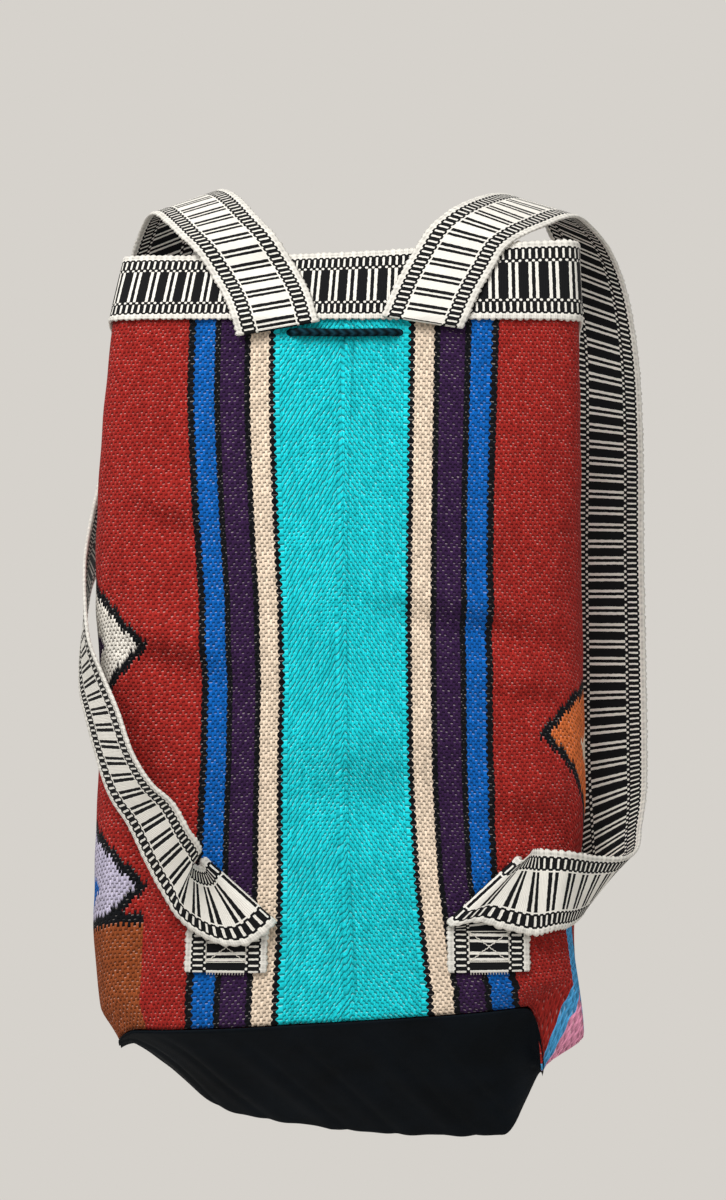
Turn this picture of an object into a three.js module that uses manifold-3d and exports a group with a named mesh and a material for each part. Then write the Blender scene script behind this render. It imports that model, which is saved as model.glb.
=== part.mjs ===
// A soft handwoven backpack, hung by its two shoulder straps. Millimetres, +Z up.
// The back carries the straps and faces -Y, the front faces +Y, and +X is the right
// as seen from behind. The origin lies midway between the two strap crowns, at the
// height where a pair of shoulders carries them.

import * as THREE from 'three';
import { LoftGeometry } from 'three/addons/geometries/LoftGeometry.js';
import { mergeVertices } from 'three/addons/utils/BufferGeometryUtils.js';
import Module from 'manifold-3d';

// The woven tube: widths and depths at its mouth, its belly and its base
const MOUTH_WIDTH = 286;
const BELLY_WIDTH = 316;
const BASE_WIDTH = 310;
const MOUTH_DEPTH = 74;
const BELLY_DEPTH = 104;
const BASE_DEPTH = 92;
const BACK_HEIGHT = 490; // down the cloth of the back, from the mouth's edge to the base seam
const CLOTH = 3.2;
const SIDE_ROUNDNESS = 3; // exponent of the oval: 2 is an ellipse, more is squarer
const MOUTH_ROUNDNESS = 8; // the mouth lies flat, with tight corners
const FLAT_REACH = 240; // down the cloth to where the oval is as round as the belly's
const BELLY_SHIFT = -8; // the belly hangs to the left
const BASE_SHIFT = -1;
const FRONT_DROP = 50; // the front hangs lower than the back, which the straps hold
const BASE_FRONT_LEFT_DROP = 12; // but less towards the left end of the base
const LEFT_END_REACH = 0.55; // how far that end reaches, in half widths
const MOUTH_SIDE_DROP = 4; // of that, how much the sides hang lower
const BASE_LEFT_DROP = 10;
const BASE_RIGHT_DROP = 46;
const BASE_TILT = 8; // the base seam rises to the right
const CORNER_START = 0.17; // the drop of the sides begins and ends at these shares of the depth
const CORNER_END = 0.42;
const LEFT_TUCK = 8; // the base seam draws the tube's sides in
const RIGHT_TUCK = 28;
const TUCK_HEIGHT = 20;

// The band round the mouth, and the straps, which are cut from the same band
const BAND_WIDTH = 50;
const BAND_THICKNESS = 2.2;
const LEFT_LEAN = 26; // the mouth leans away from the back, least at its right end
const MOUTH_LEAN = 24;
const RIGHT_LEAN = 6;
const TOP_MARGIN = 4; // the band stands proud of the tube's edge

// The straps
const CROWN_RISE = 37; // crown's underside above the mouth
const CROWN_REACH = 70; // crown in front of the back
const END_SPREAD = 45; // sewn upper end, from the back seam
const TAB_SPREAD = 82.5; // sewn lower tab, from the middle of the two
const TAB_SHIFT = 4.5; // both tabs sit a little to the right
const TAB_RISE = 31; // tab's lower edge above the base seam
const FOLD_HEIGHT = 6; // between the two layers at a flat fold
const END_OVERHANG = 0.4; // most that a sewn end passes the band's foot, in band widths
const FREE_ABOVE = 1.1; // above the band's foot, in band widths, a strap leaves the band
const SELVEDGE_THINNING = 0.2;

// The black base
const BASE_CLOTH = 1.6;
const BASE_SAG = 48;
const BASE_BOW = 3; // how far its ends hang below a straight line
const CREASE = 0.82; // place of the base's lowest crease, from back to front
const SAG_START = 0.09; // the base sags between these shares of its length, from the left
const SAG_END = 0.88;

// The drawstring
const CORD_DIAMETER = 5;
const CORD_LEVEL = 59; // below the mouth's edge, down the cloth
const KNOT_DIAMETER = 12;

const CLEARANCE = 0.4; // between pieces that touch

// How finely the soft forms are cut
const TUBE_COLUMNS = 48;
const TUBE_ROWS = 15;
const TUCK_ROWS = 3;
const BAND_ROWS = 4;
const BASE_ROWS = 9;
const STRAP_SEGMENTS = 4;
const STEPS_PER_RULING = 3;
const CORD_SIDES = 8;
const CORD_STEPS = 80;
const KNOT_SIDES = 10;
const KNOT_RINGS = 8;
const OUTLINE_DIVISIONS = 1200;

// Soft dents of the tube (a negative depth is a bulge): place and spread round the tube, as
// shares of a whole turn from the back seam to the right, then place and spread down the cloth
const DENTS = [
  { turn: 0.235, turnSpread: 0.055, down: 420, downSpread: 48, depth: 10 },
  { turn: 0.77, turnSpread: 0.05, down: 292, downSpread: 62, depth: 6 },
  { turn: 0.88, turnSpread: 0.07, down: 292, downSpread: 26, depth: 3 },
  { turn: 0.775, turnSpread: 0.045, down: 440, downSpread: 46, depth: -4 },
  { turn: 0.3, turnSpread: 0.04, down: 210, downSpread: 90, depth: 4 },
  { turn: 0.43, turnSpread: 0.06, down: 340, downSpread: 50, depth: 5 },
  { turn: 0.58, turnSpread: 0.06, down: 240, downSpread: 70, depth: -4 },
  { turn: 0.68, turnSpread: 0.04, down: 170, downSpread: 80, depth: 4 },
];

const wasm = await Module();
wasm.setup();

const { lerp, smoothstep, degToRad, clamp } = THREE.MathUtils;

// A smooth run through three values, at the shares 0, a half and 1
function through(top, middle, bottom, share) {
  const a = top * (1 - share) * (1 - 2 * share);
  const b = middle * 4 * share * (1 - share);
  const c = bottom * share * (2 * share - 1);
  return a + b + c;
}

function signedPower(value, exponent) {
  return Math.sign(value) * Math.abs(value) ** exponent;
}

// The belly's oval, which spreads the columns evenly round the tube
class BellyOval extends THREE.Curve {
  getPoint(t, target = new THREE.Vector2()) {
    const turn = 2 * Math.PI * t;
    const across = signedPower(Math.sin(turn), 2 / SIDE_ROUNDNESS);
    const back = signedPower(Math.cos(turn), 2 / SIDE_ROUNDNESS);
    return target.set((BELLY_WIDTH / 2) * across, (-BELLY_DEPTH / 2) * back);
  }
}
const bellyOval = new BellyOval();
bellyOval.arcLengthDivisions = OUTLINE_DIVISIONS;

const bandFoot = -Math.sqrt(BAND_WIDTH ** 2 - MOUTH_LEAN ** 2);
const seamHeight = bandFoot - (BACK_HEIGHT - BAND_WIDTH);

function sizesAt(down) {
  const share = clamp(down / BACK_HEIGHT, 0, 1);
  const tuck = smoothstep(down, BACK_HEIGHT - TUCK_HEIGHT, BACK_HEIGHT);
  const width = through(MOUTH_WIDTH, BELLY_WIDTH, BASE_WIDTH, share);
  return {
    halfWidth: (width - tuck * (LEFT_TUCK + RIGHT_TUCK)) / 2,
    depth: through(MOUTH_DEPTH, BELLY_DEPTH, BASE_DEPTH, share),
    shift: through(0, BELLY_SHIFT, BASE_SHIFT, share) - (tuck * (RIGHT_TUCK - LEFT_TUCK)) / 2,
    roundness: lerp(MOUTH_ROUNDNESS, SIDE_ROUNDNESS, smoothstep(down, 0, FLAT_REACH)),
    share,
  };
}

// Height of a place round the tube against the middle of its back, at a share of the way down
function sagOf(across, ahead, share) {
  const baseSide = lerp(BASE_LEFT_DROP, BASE_RIGHT_DROP, (1 + across) / 2);
  const side = lerp(MOUTH_SIDE_DROP, baseSide, share ** 3);
  const sideDrop = side * smoothstep(ahead, CORNER_START, CORNER_END);
  const leftEnd = share ** 3 * (1 - smoothstep(across, -1, LEFT_END_REACH - 1));
  const front = lerp(FRONT_DROP, BASE_FRONT_LEFT_DROP, leftEnd);
  const frontDrop = (front - side) * smoothstep(ahead, CORNER_END, 1);
  return BASE_TILT * across * share ** 4 - sideDrop - frontDrop;
}

function leanAt(across) {
  return through(LEFT_LEAN, MOUTH_LEAN, RIGHT_LEAN, (1 + across) / 2);
}

function dentAt(turn, down) {
  let depth = 0;
  for (const dent of DENTS) {
    let round = turn - dent.turn;
    round -= Math.round(round);
    const far = (round / dent.turnSpread) ** 2 + ((down - dent.down) / dent.downSpread) ** 2;
    depth += dent.depth * Math.exp(-far);
  }
  return depth;
}

// How far back the oval reaches at a place across it, in half depths
function backShare(across, roundness) {
  return Math.max(0, 1 - Math.abs(across) ** roundness) ** (1 / roundness);
}

// A point of the tube: a share of a turn from the back seam, a distance down the cloth, and
// how far it stands out from the cloth's outer face
function bagPoint(turn, down, out) {
  const { halfWidth, depth, shift, roundness, share } = sizesAt(down);
  const angle = 2 * Math.PI * bellyOval.getUtoTmapping(turn - Math.floor(turn));
  const across = signedPower(Math.sin(angle), 2 / SIDE_ROUNDNESS);
  const back = Math.sign(Math.cos(angle)) * backShare(across, roundness);
  const outward = new THREE.Vector2(
    signedPower(across, roundness - 1) / halfWidth,
    -signedPower(back, roundness - 1) / (depth / 2),
  ).normalize();
  const lean = leanAt(across);
  const ahead = (1 - back) / 2;
  const up = Math.max(0, 1 - down / BAND_WIDTH);
  const bandHeight = up * Math.sqrt(BAND_WIDTH ** 2 - lean ** 2);
  const below = Math.max(0, down - BAND_WIDTH);
  const offset = out - dentAt(turn, down);
  return new THREE.Vector3(
    shift + halfWidth * across + outward.x * offset,
    depth * ahead + lean * up + outward.y * offset,
    bandFoot + bandHeight - below + sagOf(across, ahead, share),
  );
}

// The back's outer face at a place seen from behind: its depth, and its share of the band's height
function backFace(x, z) {
  let down = -z;
  let face = 0;
  let up = 0;
  for (let pass = 0; pass < 5; pass++) {
    const { halfWidth, depth, shift, roundness, share } = sizesAt(down);
    const across = clamp((x - shift) / halfWidth, -0.999, 0.999);
    const ahead = (1 - backShare(across, roundness)) / 2;
    const level = z - sagOf(across, ahead, share) - bandFoot;
    const lean = leanAt(across);
    up = level / Math.sqrt(BAND_WIDTH ** 2 - lean ** 2);
    down = level > 0 ? BAND_WIDTH * (1 - up) : BAND_WIDTH - level;
    face = depth * ahead + lean * Math.max(0, up);
  }
  return { face, up };
}

// A geometry's surface with its shared corners merged
function merged(geometry) {
  const surface = new THREE.BufferGeometry();
  surface.setAttribute('position', geometry.getAttribute('position'));
  surface.setIndex(geometry.getIndex());
  return mergeVertices(surface);
}

function solidOf(geometry) {
  const closed = merged(geometry);
  const mesh = new wasm.Mesh({
    numProp: 3,
    vertProperties: new Float32Array(closed.attributes.position.array),
    triVerts: new Uint32Array(closed.index.array),
  });
  return new wasm.Manifold(mesh);
}

function geometryOf(solid) {
  const { vertProperties, triVerts } = solid.getMesh();
  const geometry = new THREE.BufferGeometry();
  geometry.setAttribute('position', new THREE.BufferAttribute(new Float32Array(vertProperties), 3));
  geometry.setIndex(new THREE.BufferAttribute(new Uint32Array(triVerts), 1));
  geometry.computeVertexNormals();
  return geometry;
}

// A wall round the bag between two faces, over the given distances down the cloth
function wallRound(downs, inner, outer) {
  const sections = [];
  for (let column = 0; column <= TUBE_COLUMNS; column++) {
    const turn = column / TUBE_COLUMNS;
    const section = downs.map((down) => bagPoint(turn, down, outer));
    for (const down of [...downs].reverse()) {
      section.push(bagPoint(turn, down, inner));
    }
    sections.push(section);
  }
  return merged(new LoftGeometry(sections));
}

function steps(from, to, count) {
  return Array.from({ length: count + 1 }, (_, i) => lerp(from, to, i / count));
}

// The woven tube shares its upper rows with the band, so that their facets lie side by side
const sharedRows = steps(TOP_MARGIN, BAND_WIDTH, BAND_ROWS);

function tubeGeometry() {
  const tuckTop = BACK_HEIGHT - TUCK_HEIGHT;
  const bodyRows = steps(BAND_WIDTH, tuckTop, TUBE_ROWS).slice(1);
  const tuckRows = steps(tuckTop, BACK_HEIGHT, TUCK_ROWS).slice(1);
  return wallRound([...sharedRows, ...bodyRows, ...tuckRows], -CLOTH, 0);
}

function bandGeometry() {
  return wallRound([0, ...sharedRows], CLEARANCE, CLEARANCE + BAND_THICKNESS);
}

// A place under the tube's lower rim, which is lower where the rim runs steeply
function rimPoint(column) {
  const before = bagPoint((column - 1) / TUBE_COLUMNS, BACK_HEIGHT, 0);
  const after = bagPoint((column + 1) / TUBE_COLUMNS, BACK_HEIGHT, 0);
  const steepness = Math.abs(after.z - before.z) / Math.hypot(after.x - before.x, after.y - before.y);
  const place = bagPoint(column / TUBE_COLUMNS, BACK_HEIGHT, 0);
  return place.setZ(place.z - 2 * CLEARANCE - steepness * 2.2 * CLOTH);
}

// The base: a slack cloth across the tube's lower rim. Each station joins a place on the back
// of the rim to the place opposite it on the front, and sags to a crease near the front.
function baseGeometry() {
  const endColumn = TUBE_COLUMNS / 4 - 1;
  const sections = [];
  for (let column = -endColumn; column <= endColumn; column++) {
    const along = (column + endColumn) / (2 * endColumn);
    const rear = rimPoint(column);
    const front = rimPoint(TUBE_COLUMNS / 2 - column);
    const toSag = clamp((along - SAG_START) / (SAG_END - SAG_START), 0, 1);
    const rise = Math.sin((toSag * Math.PI) / 2) ** 0.8;
    const sag = BASE_SAG * rise * (1 - smoothstep(along, SAG_END, 1));
    const under = [];
    const over = [];
    for (let row = 0; row <= BASE_ROWS; row++) {
      const across = row / BASE_ROWS;
      const fall = across < CREASE ? across / CREASE : (1 - across) / (1 - CREASE);
      const place = new THREE.Vector3().lerpVectors(rear, front, across);
      place.z -= sag * fall + BASE_BOW * 4 * across * (1 - across);
      over.push(place);
      under.push(place.clone().setZ(place.z - BASE_CLOTH));
    }
    sections.push([...under, ...over.reverse()]);
  }
  return merged(new LoftGeometry(sections, { capStart: true, capEnd: true }));
}

// A strap is a run of rulings, each a straight line across it from its inner selvedge, the
// one nearer the neck at the crown, to its outer one. Where the strap is folded over, the
// rulings lie along the fold.
function ruling(centre, halfway) {
  const reach = halfway.clone().multiplyScalar(BAND_WIDTH / 2);
  return { outer: centre.clone().add(reach), inner: centre.clone().sub(reach) };
}

// A ruling in the air, placed by shares of the belly and of the back's height
function hanging(across, ahead, up, ...halfway) {
  const centre = new THREE.Vector3(
    (across * BELLY_WIDTH) / 2,
    ahead * BELLY_DEPTH,
    up * -seamHeight,
  );
  return ruling(centre, new THREE.Vector3(...halfway));
}

// A ruling over the shoulder, placed by shares of the crown's reach and rise
function shoulder(across, ahead, up, ...halfway) {
  const centre = new THREE.Vector3(
    (across * BELLY_WIDTH) / 2,
    ahead * CROWN_REACH,
    up * CROWN_RISE,
  );
  return ruling(centre, new THREE.Vector3(...halfway));
}

// A ruling that lies on the back, at an angle to the level, and this far off the cloth
function onBack(side, x, z, angle, stretch, lift) {
  const halfX = side * Math.cos(degToRad(angle)) * stretch * (BAND_WIDTH / 2);
  const halfZ = Math.sin(degToRad(angle)) * stretch * (BAND_WIDTH / 2);
  const place = (px, pz) => new THREE.Vector3(px, backFace(px, pz).face - lift, pz);
  return { outer: place(x + halfX, z + halfZ), inner: place(x - halfX, z - halfZ) };
}

// The sewn end on the band: shares of the band's width outwards and above the band's foot
function sewnEnd(side, outwards, up, angle) {
  const lift = 2.5 * CLEARANCE + 1.5 * BAND_THICKNESS;
  const x = side * (END_SPREAD + outwards * BAND_WIDTH);
  return onBack(side, x, bandFoot + up * BAND_WIDTH, angle, 1, lift);
}

// The tab and the diagonal fold above it, with places in band widths from the tab's foot
function tabRuling(side, outwards, up, angle, stretch, layer) {
  const lift = 1.5 * CLEARANCE + BAND_THICKNESS / 2 + layer * FOLD_HEIGHT;
  const x = TAB_SHIFT + side * (TAB_SPREAD + outwards * BAND_WIDTH);
  return onBack(side, x, seamHeight + TAB_RISE + up * BAND_WIDTH, angle, stretch, lift);
}

function tabFold(side, outwards) {
  return [
    tabRuling(side, 0, 0, 0, 1, 0),
    tabRuling(side, outwards / 5, 0.53, 0, 1, 0),
    tabRuling(side, outwards / 2, 0.8, 24, 1.06, 0),
    tabRuling(side, outwards, 1, 42, 1.18, 0),
    tabRuling(side, outwards - 0.04, 1.04, 42, 1.18, 0.5),
    tabRuling(side, outwards, 1, 42, 1.18, 1),
  ];
}

const RIGHT_RULINGS = [
  ...tabFold(1, -0.04),
  tabRuling(1, 0.18, 1.07, 51, 1.06, 1),
  tabRuling(1, 0.37, 1.04, 70, 1.02, 1),
  tabRuling(1, 0.61, 1, 87, 1.04, 1.1),
  hanging(0.83, 0.02, -0.831, 0.14, 0.02, 0.96),
  hanging(0.93, 0.16, -0.835, 0.34, 0.24, 0.84),
  hanging(1.03, 0.37, -0.831, 0.58, 0.36, 0.66),
  hanging(1.07, 0.56, -0.816, 0.74, 0.32, 0.52),
  hanging(1.08, 0.74, -0.79, 0.82, 0.2, 0.5),
  hanging(1.09, 0.9, -0.745, 0.94, 0.12, 0.42),
  hanging(1.09, 1, -0.682, 1, 0.04, 0.18),
  hanging(1.09, 1.07, -0.558, 1, 0, 0),
  hanging(1.09, 1.18, -0.393, 1, 0.04, 0),
  hanging(1.1, 1.31, -0.222, 0.98, 0.08, -0.1),
  hanging(1.09, 1.34, -0.1, 0.94, 0.12, -0.26),
  shoulder(1.04, 1.84, -0.09, 0.92, 0.12, -0.34),
  shoulder(0.96, 1.59, 0.65, 0.92, 0.04, -0.4),
  shoulder(0.86, 1.3, 0.97, 0.94, -0.12, -0.36),
  shoulder(0.754, 0.8, 0.971, 0.966, -0.28, -0.331),
  shoulder(0.632, 0.457, 0.724, 0.881, -0.36, -0.395),
  shoulder(0.544, 0.279, 0.503, 0.883, -0.36, -0.375),
  shoulder(0.467, 0.207, 0.234, 0.929, -0.28, -0.293),
  sewnEnd(1, 0.41, 0.78, -13),
  sewnEnd(1, 0.2, 0.4, -11),
  sewnEnd(1, 0, -0.06, -9),
];

const LEFT_RULINGS = [
  ...tabFold(-1, -0.15),
  tabRuling(-1, 0.0, 0.86, 60, 1.1, 1),
  tabRuling(-1, 0.22, 0.87, 78, 0.95, 1.3),
  hanging(-0.64, -0.13, -0.827, 0.16, -0.22, 0.76),
  hanging(-0.65, -0.16, -0.806, 0.46, -0.42, 0.66),
  hanging(-0.71, -0.18, -0.771, 0.56, -0.6, 0.5),
  hanging(-0.78, -0.17, -0.728, 0.6, -0.7, 0.36),
  hanging(-0.86, -0.13, -0.697, 0.62, -0.78, 0.18),
  hanging(-0.93, -0.06, -0.651, 0.56, -0.82, 0.02),
  hanging(-0.985, 0.02, -0.6, 0.5, -0.86, 0.1),
  hanging(-1.035, 0.14, -0.561, 0.38, -0.9, 0.24),
  hanging(-1.07, 0.27, -0.518, 0.22, -0.95, 0.22),
  hanging(-1.08, 0.43, -0.467, 0.1, -0.97, 0.24),
  hanging(-1.08, 0.64, -0.415, 0, -0.96, 0.28),
  hanging(-1.03, 0.93, -0.355, -0.28, -0.88, 0.36),
  hanging(-0.94, 1.18, -0.275, -0.66, -0.66, 0.34),
  hanging(-0.88, 1.31, -0.178, -0.88, -0.36, 0.28),
  shoulder(-0.84, 1.97, -0.9, -0.95, -0.1, 0.1),
  shoulder(-0.8, 1.76, 0.4, -0.93, -0.08, -0.36),
  shoulder(-0.72, 1.34, 1.07, -0.93, -0.06, -0.38),
  shoulder(-0.66, 0.96, 1.07, -0.95, -0.04, -0.3),
  shoulder(-0.6, 0.69, 0.84, -0.95, -0.08, -0.3),
  shoulder(-0.53, 0.44, 0.49, -0.96, -0.12, -0.26),
  shoulder(-0.46, 0.29, 0.16, -0.97, -0.08, -0.22),
  sewnEnd(-1, 0.3, 0.6, -11),
  sewnEnd(-1, 0.12, 0.25, -11),
  sewnEnd(-1, 0, -0.14, -10),
];

// A strap bends over the back and the band where they are rounder than its rulings
function clearOfBack(place) {
  const { face, up } = backFace(place.x, place.z);
  const overBand = up > -END_OVERHANG ? 2.5 * CLEARANCE + BAND_THICKNESS : 0;
  const seat = face - overBand - 2 * CLEARANCE - BAND_THICKNESS / 2;
  if (place.y < BELLY_DEPTH / 5) {
    place.y = Math.min(place.y, seat + 2 * Math.max(0, up - FREE_ABOVE) * BAND_WIDTH);
  }
  return place;
}

function strapGeometry(rulings) {
  const outer = new THREE.CatmullRomCurve3(rulings.map((one) => one.outer));
  const inner = new THREE.CatmullRomCurve3(rulings.map((one) => one.inner));
  const sections = [];
  const last = (rulings.length - 1) * STEPS_PER_RULING;
  for (let step = 0; step <= last; step++) {
    const t = step / last;
    const start = inner.getPoint(t);
    const end = outer.getPoint(t);
    const along = inner.getTangent(t).add(outer.getTangent(t));
    const face = along.cross(new THREE.Vector3().subVectors(end, start)).normalize();
    const near = [];
    const far = [];
    for (let segment = 0; segment <= STRAP_SEGMENTS; segment++) {
      const across = segment / STRAP_SEGMENTS;
      const crown = 1 - SELVEDGE_THINNING * (2 * across - 1) ** 2;
      const place = clearOfBack(new THREE.Vector3().lerpVectors(start, end, across));
      const rise = face.clone().multiplyScalar((BAND_THICKNESS / 2) * crown);
      near.push(place.clone().add(rise));
      far.push(place.clone().sub(rise));
    }
    sections.push([...far, ...near.reverse()]);
  }
  return merged(new LoftGeometry(sections, { capStart: true, capEnd: true }));
}

// Half of the drawstring's route, from the middle of the back to the end of one tail: shares of
// a turn, distances below the cord's level, and distances out from the cloth's outer face
const insideRun = -(CLOTH + CLEARANCE + CORD_DIAMETER / 2 + 1);
const outsideRun = CORD_DIAMETER / 2 + CLEARANCE;
const DRAWSTRING_HALF = [
  [0.022, 0, outsideRun],
  [0.038, 0, outsideRun],
  [0.053, 0, insideRun / 3],
  [0.068, 0, insideRun],
  [0.09, 0, insideRun],
  [0.13, 0, insideRun],
  [0.17, 0, insideRun],
  [0.21, 0, insideRun],
  [0.25, 0, insideRun],
  [0.29, 0, insideRun],
  [0.33, 0, insideRun],
  [0.37, 0, insideRun],
  [0.41, 0, insideRun],
  [0.428, 0, insideRun],
  [0.443, 1, insideRun / 3],
  [0.455, 6, outsideRun + 0.6],
  [0.461, 18, outsideRun + 1],
  [0.462, 50, outsideRun + 1.2],
  [0.459, 84, outsideRun + 1.2],
  [0.461, 116, outsideRun + 1.2],
];

function drawstringCurve() {
  const right = DRAWSTRING_HALF.map(([turn, below, out]) => bagPoint(turn, CORD_LEVEL + below, out));
  const left = DRAWSTRING_HALF.map(([turn, below, out]) => bagPoint(1 - turn, CORD_LEVEL + below, out));
  return new THREE.CatmullRomCurve3([...left.reverse(), ...right]);
}

function cordGeometry(curve, diameter) {
  const section = new THREE.Shape();
  section.absarc(0, 0, diameter / 2, 0, 2 * Math.PI);
  const round = new THREE.Shape(section.getPoints(CORD_SIDES / 2).slice(0, -1));
  return new THREE.ExtrudeGeometry(round, { steps: CORD_STEPS, extrudePath: curve });
}

function knotAt(place) {
  const knot = new THREE.SphereGeometry(KNOT_DIAMETER / 2, KNOT_SIDES, KNOT_RINGS);
  return solidOf(knot.translate(place.x, place.y + (KNOT_DIAMETER - CORD_DIAMETER) / 2, place.z));
}

const drawstring = drawstringCurve();
const passage = solidOf(cordGeometry(drawstring, CORD_DIAMETER + 2 * CLEARANCE));
const wovenTube = solidOf(tubeGeometry()).subtract(passage);
const knottedCord = solidOf(cordGeometry(drawstring, CORD_DIAMETER))
  .add(knotAt(drawstring.getPoint(0)))
  .add(knotAt(drawstring.getPoint(1)));

function piece(name, geometry, colour, roughness) {
  const material = new THREE.MeshStandardMaterial({ color: colour, roughness, metalness: 0 });
  const mesh = new THREE.Mesh(geometry, material);
  mesh.name = name;
  return mesh;
}

const bag = new THREE.Group();
bag.add(piece('woven_body', geometryOf(wovenTube), 0x982f2a, 0.95));
bag.add(piece('base_panel', baseGeometry(), 0x14181d, 0.7));
bag.add(piece('mouth_band', bandGeometry(), 0x2a2a2c, 0.85));
bag.add(piece('strap_left', strapGeometry(LEFT_RULINGS), 0xe6e0d2, 0.85));
bag.add(piece('strap_right', strapGeometry(RIGHT_RULINGS), 0xe6e0d2, 0.85));
bag.add(piece('drawstring', geometryOf(knottedCord), 0x15161a, 0.8));
bag.position.set(0, -CROWN_REACH, -CROWN_RISE);

const backpack = new THREE.Group();
backpack.add(bag);

export default backpack;
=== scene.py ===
import math

import bpy
import numpy as np
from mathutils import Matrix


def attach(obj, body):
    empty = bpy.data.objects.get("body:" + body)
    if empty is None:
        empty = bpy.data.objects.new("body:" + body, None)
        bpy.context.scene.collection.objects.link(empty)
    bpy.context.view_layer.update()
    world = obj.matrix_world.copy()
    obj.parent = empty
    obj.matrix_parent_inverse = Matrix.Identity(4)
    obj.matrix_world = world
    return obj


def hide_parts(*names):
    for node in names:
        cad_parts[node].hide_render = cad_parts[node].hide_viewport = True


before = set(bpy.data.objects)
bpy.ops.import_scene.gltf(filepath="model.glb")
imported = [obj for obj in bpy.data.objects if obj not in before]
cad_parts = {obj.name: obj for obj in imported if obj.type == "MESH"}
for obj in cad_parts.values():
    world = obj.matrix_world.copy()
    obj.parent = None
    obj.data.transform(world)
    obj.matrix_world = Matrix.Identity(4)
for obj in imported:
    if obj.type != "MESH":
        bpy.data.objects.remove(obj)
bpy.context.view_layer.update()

bpy.ops.object.select_all(action="DESELECT")


# Camera, floor and light: a level view of the bag's back from about a metre and a half, a plain
# pale floor well below the hung bag, and studio light from a broad lamp high on the left, a weak
# fill on the right, a lamp behind the bag and an even sky.
def linear(hex_colour):
    """An sRGB hex colour as linear red, green, blue and alpha."""
    channels = [int(hex_colour[i : i + 2], 16) / 255 for i in (1, 3, 5)]
    return (*[c / 12.92 if c <= 0.04045 else ((c + 0.055) / 1.055) ** 2.4 for c in channels], 1.0)


def feed(node, inputs):
    """Sets a node's inputs, in order or by name: numbers and colours, or other nodes, which it links."""
    for key, value in inputs.items():
        if isinstance(value, bpy.types.Node):
            value = value.outputs[0]
        if isinstance(value, bpy.types.NodeSocket):
            tree.links.new(value, node.inputs[key])
        else:
            node.inputs[key].default_value = value


def add_node(kind, *inputs, named=None, steps=(), **settings):
    """Adds a node to the tree in hand. The kind of a maths node also says what it does. Steps are the
    plain colours of a ramp, each with its start."""
    kind, _, operation = kind.partition(" ")
    node = tree.nodes.new("ShaderNode" + kind)
    if operation:
        node.operation = operation
    for name, value in settings.items():
        setattr(node, name, value)
    for place, (start, colour) in enumerate(steps):
        node.color_ramp.interpolation = "CONSTANT"
        spots = node.color_ramp.elements
        spot = spots[place] if place < 2 else spots.new(1.0)
        spot.position, spot.color = start, colour
    feed(node, {**dict(enumerate(inputs)), **(named or {})})
    return node


def new_material(name):
    """A material, and the tree that its nodes go into."""
    material = bpy.data.materials.new(name)
    material.use_nodes = True
    return material, material.node_tree


camera = bpy.data.objects.new("camera", bpy.data.cameras.new("camera"))
camera.data.sensor_width = 36
camera.data.lens = 72
camera.location = (0.0081, -1.57, -0.257)
camera.rotation_euler = (math.pi / 2, 0, 0)
bpy.context.scene.collection.objects.link(camera)
bpy.context.scene.camera = camera
bpy.context.scene.view_settings.view_transform = "Standard"

FLOOR_HEIGHT = -1.3
bpy.ops.mesh.primitive_plane_add(size=2.6, location=(0, 0, FLOOR_HEIGHT))
floor = bpy.context.object
floor.name = "floor"
bpy.ops.object.transform_apply(location=True)
# Pale paper: matt, with a faint speckle
paper, tree = new_material("pale_paper")
speckle = add_node("TexNoise", named={"Scale": 40.0, "Detail": 3.0})
tint = add_node("MixRGB", speckle, linear("#d8d3cd"), linear("#dedad5"))
feed(tree.nodes["Principled BSDF"], {"Base Color": tint, "Roughness": 0.9})
floor.data.materials.append(paper)

LAMP_AIM = np.array((0, 0, -0.27))
for name, place, size, power in (
    ("key_lamp", (-0.7, -1.4, 1.2), 1.2, 45.5),
    ("fill_lamp", (1.5, -1.3, -0.1), 1.4, 6),
    ("back_lamp", (0.3, 1.7, 0.6), 1.3, 24),
):
    lamp = bpy.data.objects.new(name, bpy.data.lights.new(name, "AREA"))
    lamp.data.size = size
    lamp.data.energy = power
    lamp.location = place
    towards = LAMP_AIM - np.array(place)
    lamp.rotation_euler = (
        math.acos(-towards[2] / np.linalg.norm(towards)),
        0,
        math.atan2(towards[1], towards[0]) - math.pi / 2,
    )
    bpy.context.scene.collection.objects.link(lamp)

sky = bpy.data.worlds.new("studio")
bpy.context.scene.world = sky
sky.use_nodes = True
tree = sky.node_tree
tree.nodes.clear()
seen = add_node("LightPath")
glossy = add_node("Math MAXIMUM", seen.outputs["Is Camera Ray"], seen.outputs["Is Glossy Ray"])
shown = add_node("Math MAXIMUM", glossy, seen.outputs["Is Transmission Ray"])
light = add_node("Background", linear("#ffffff"), 0.32)
backdrop = add_node("Background", linear("#d6d2cc"), 1.0)
both = add_node("MixShader", shown, light, backdrop)
add_node("OutputWorld", both)


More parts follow.
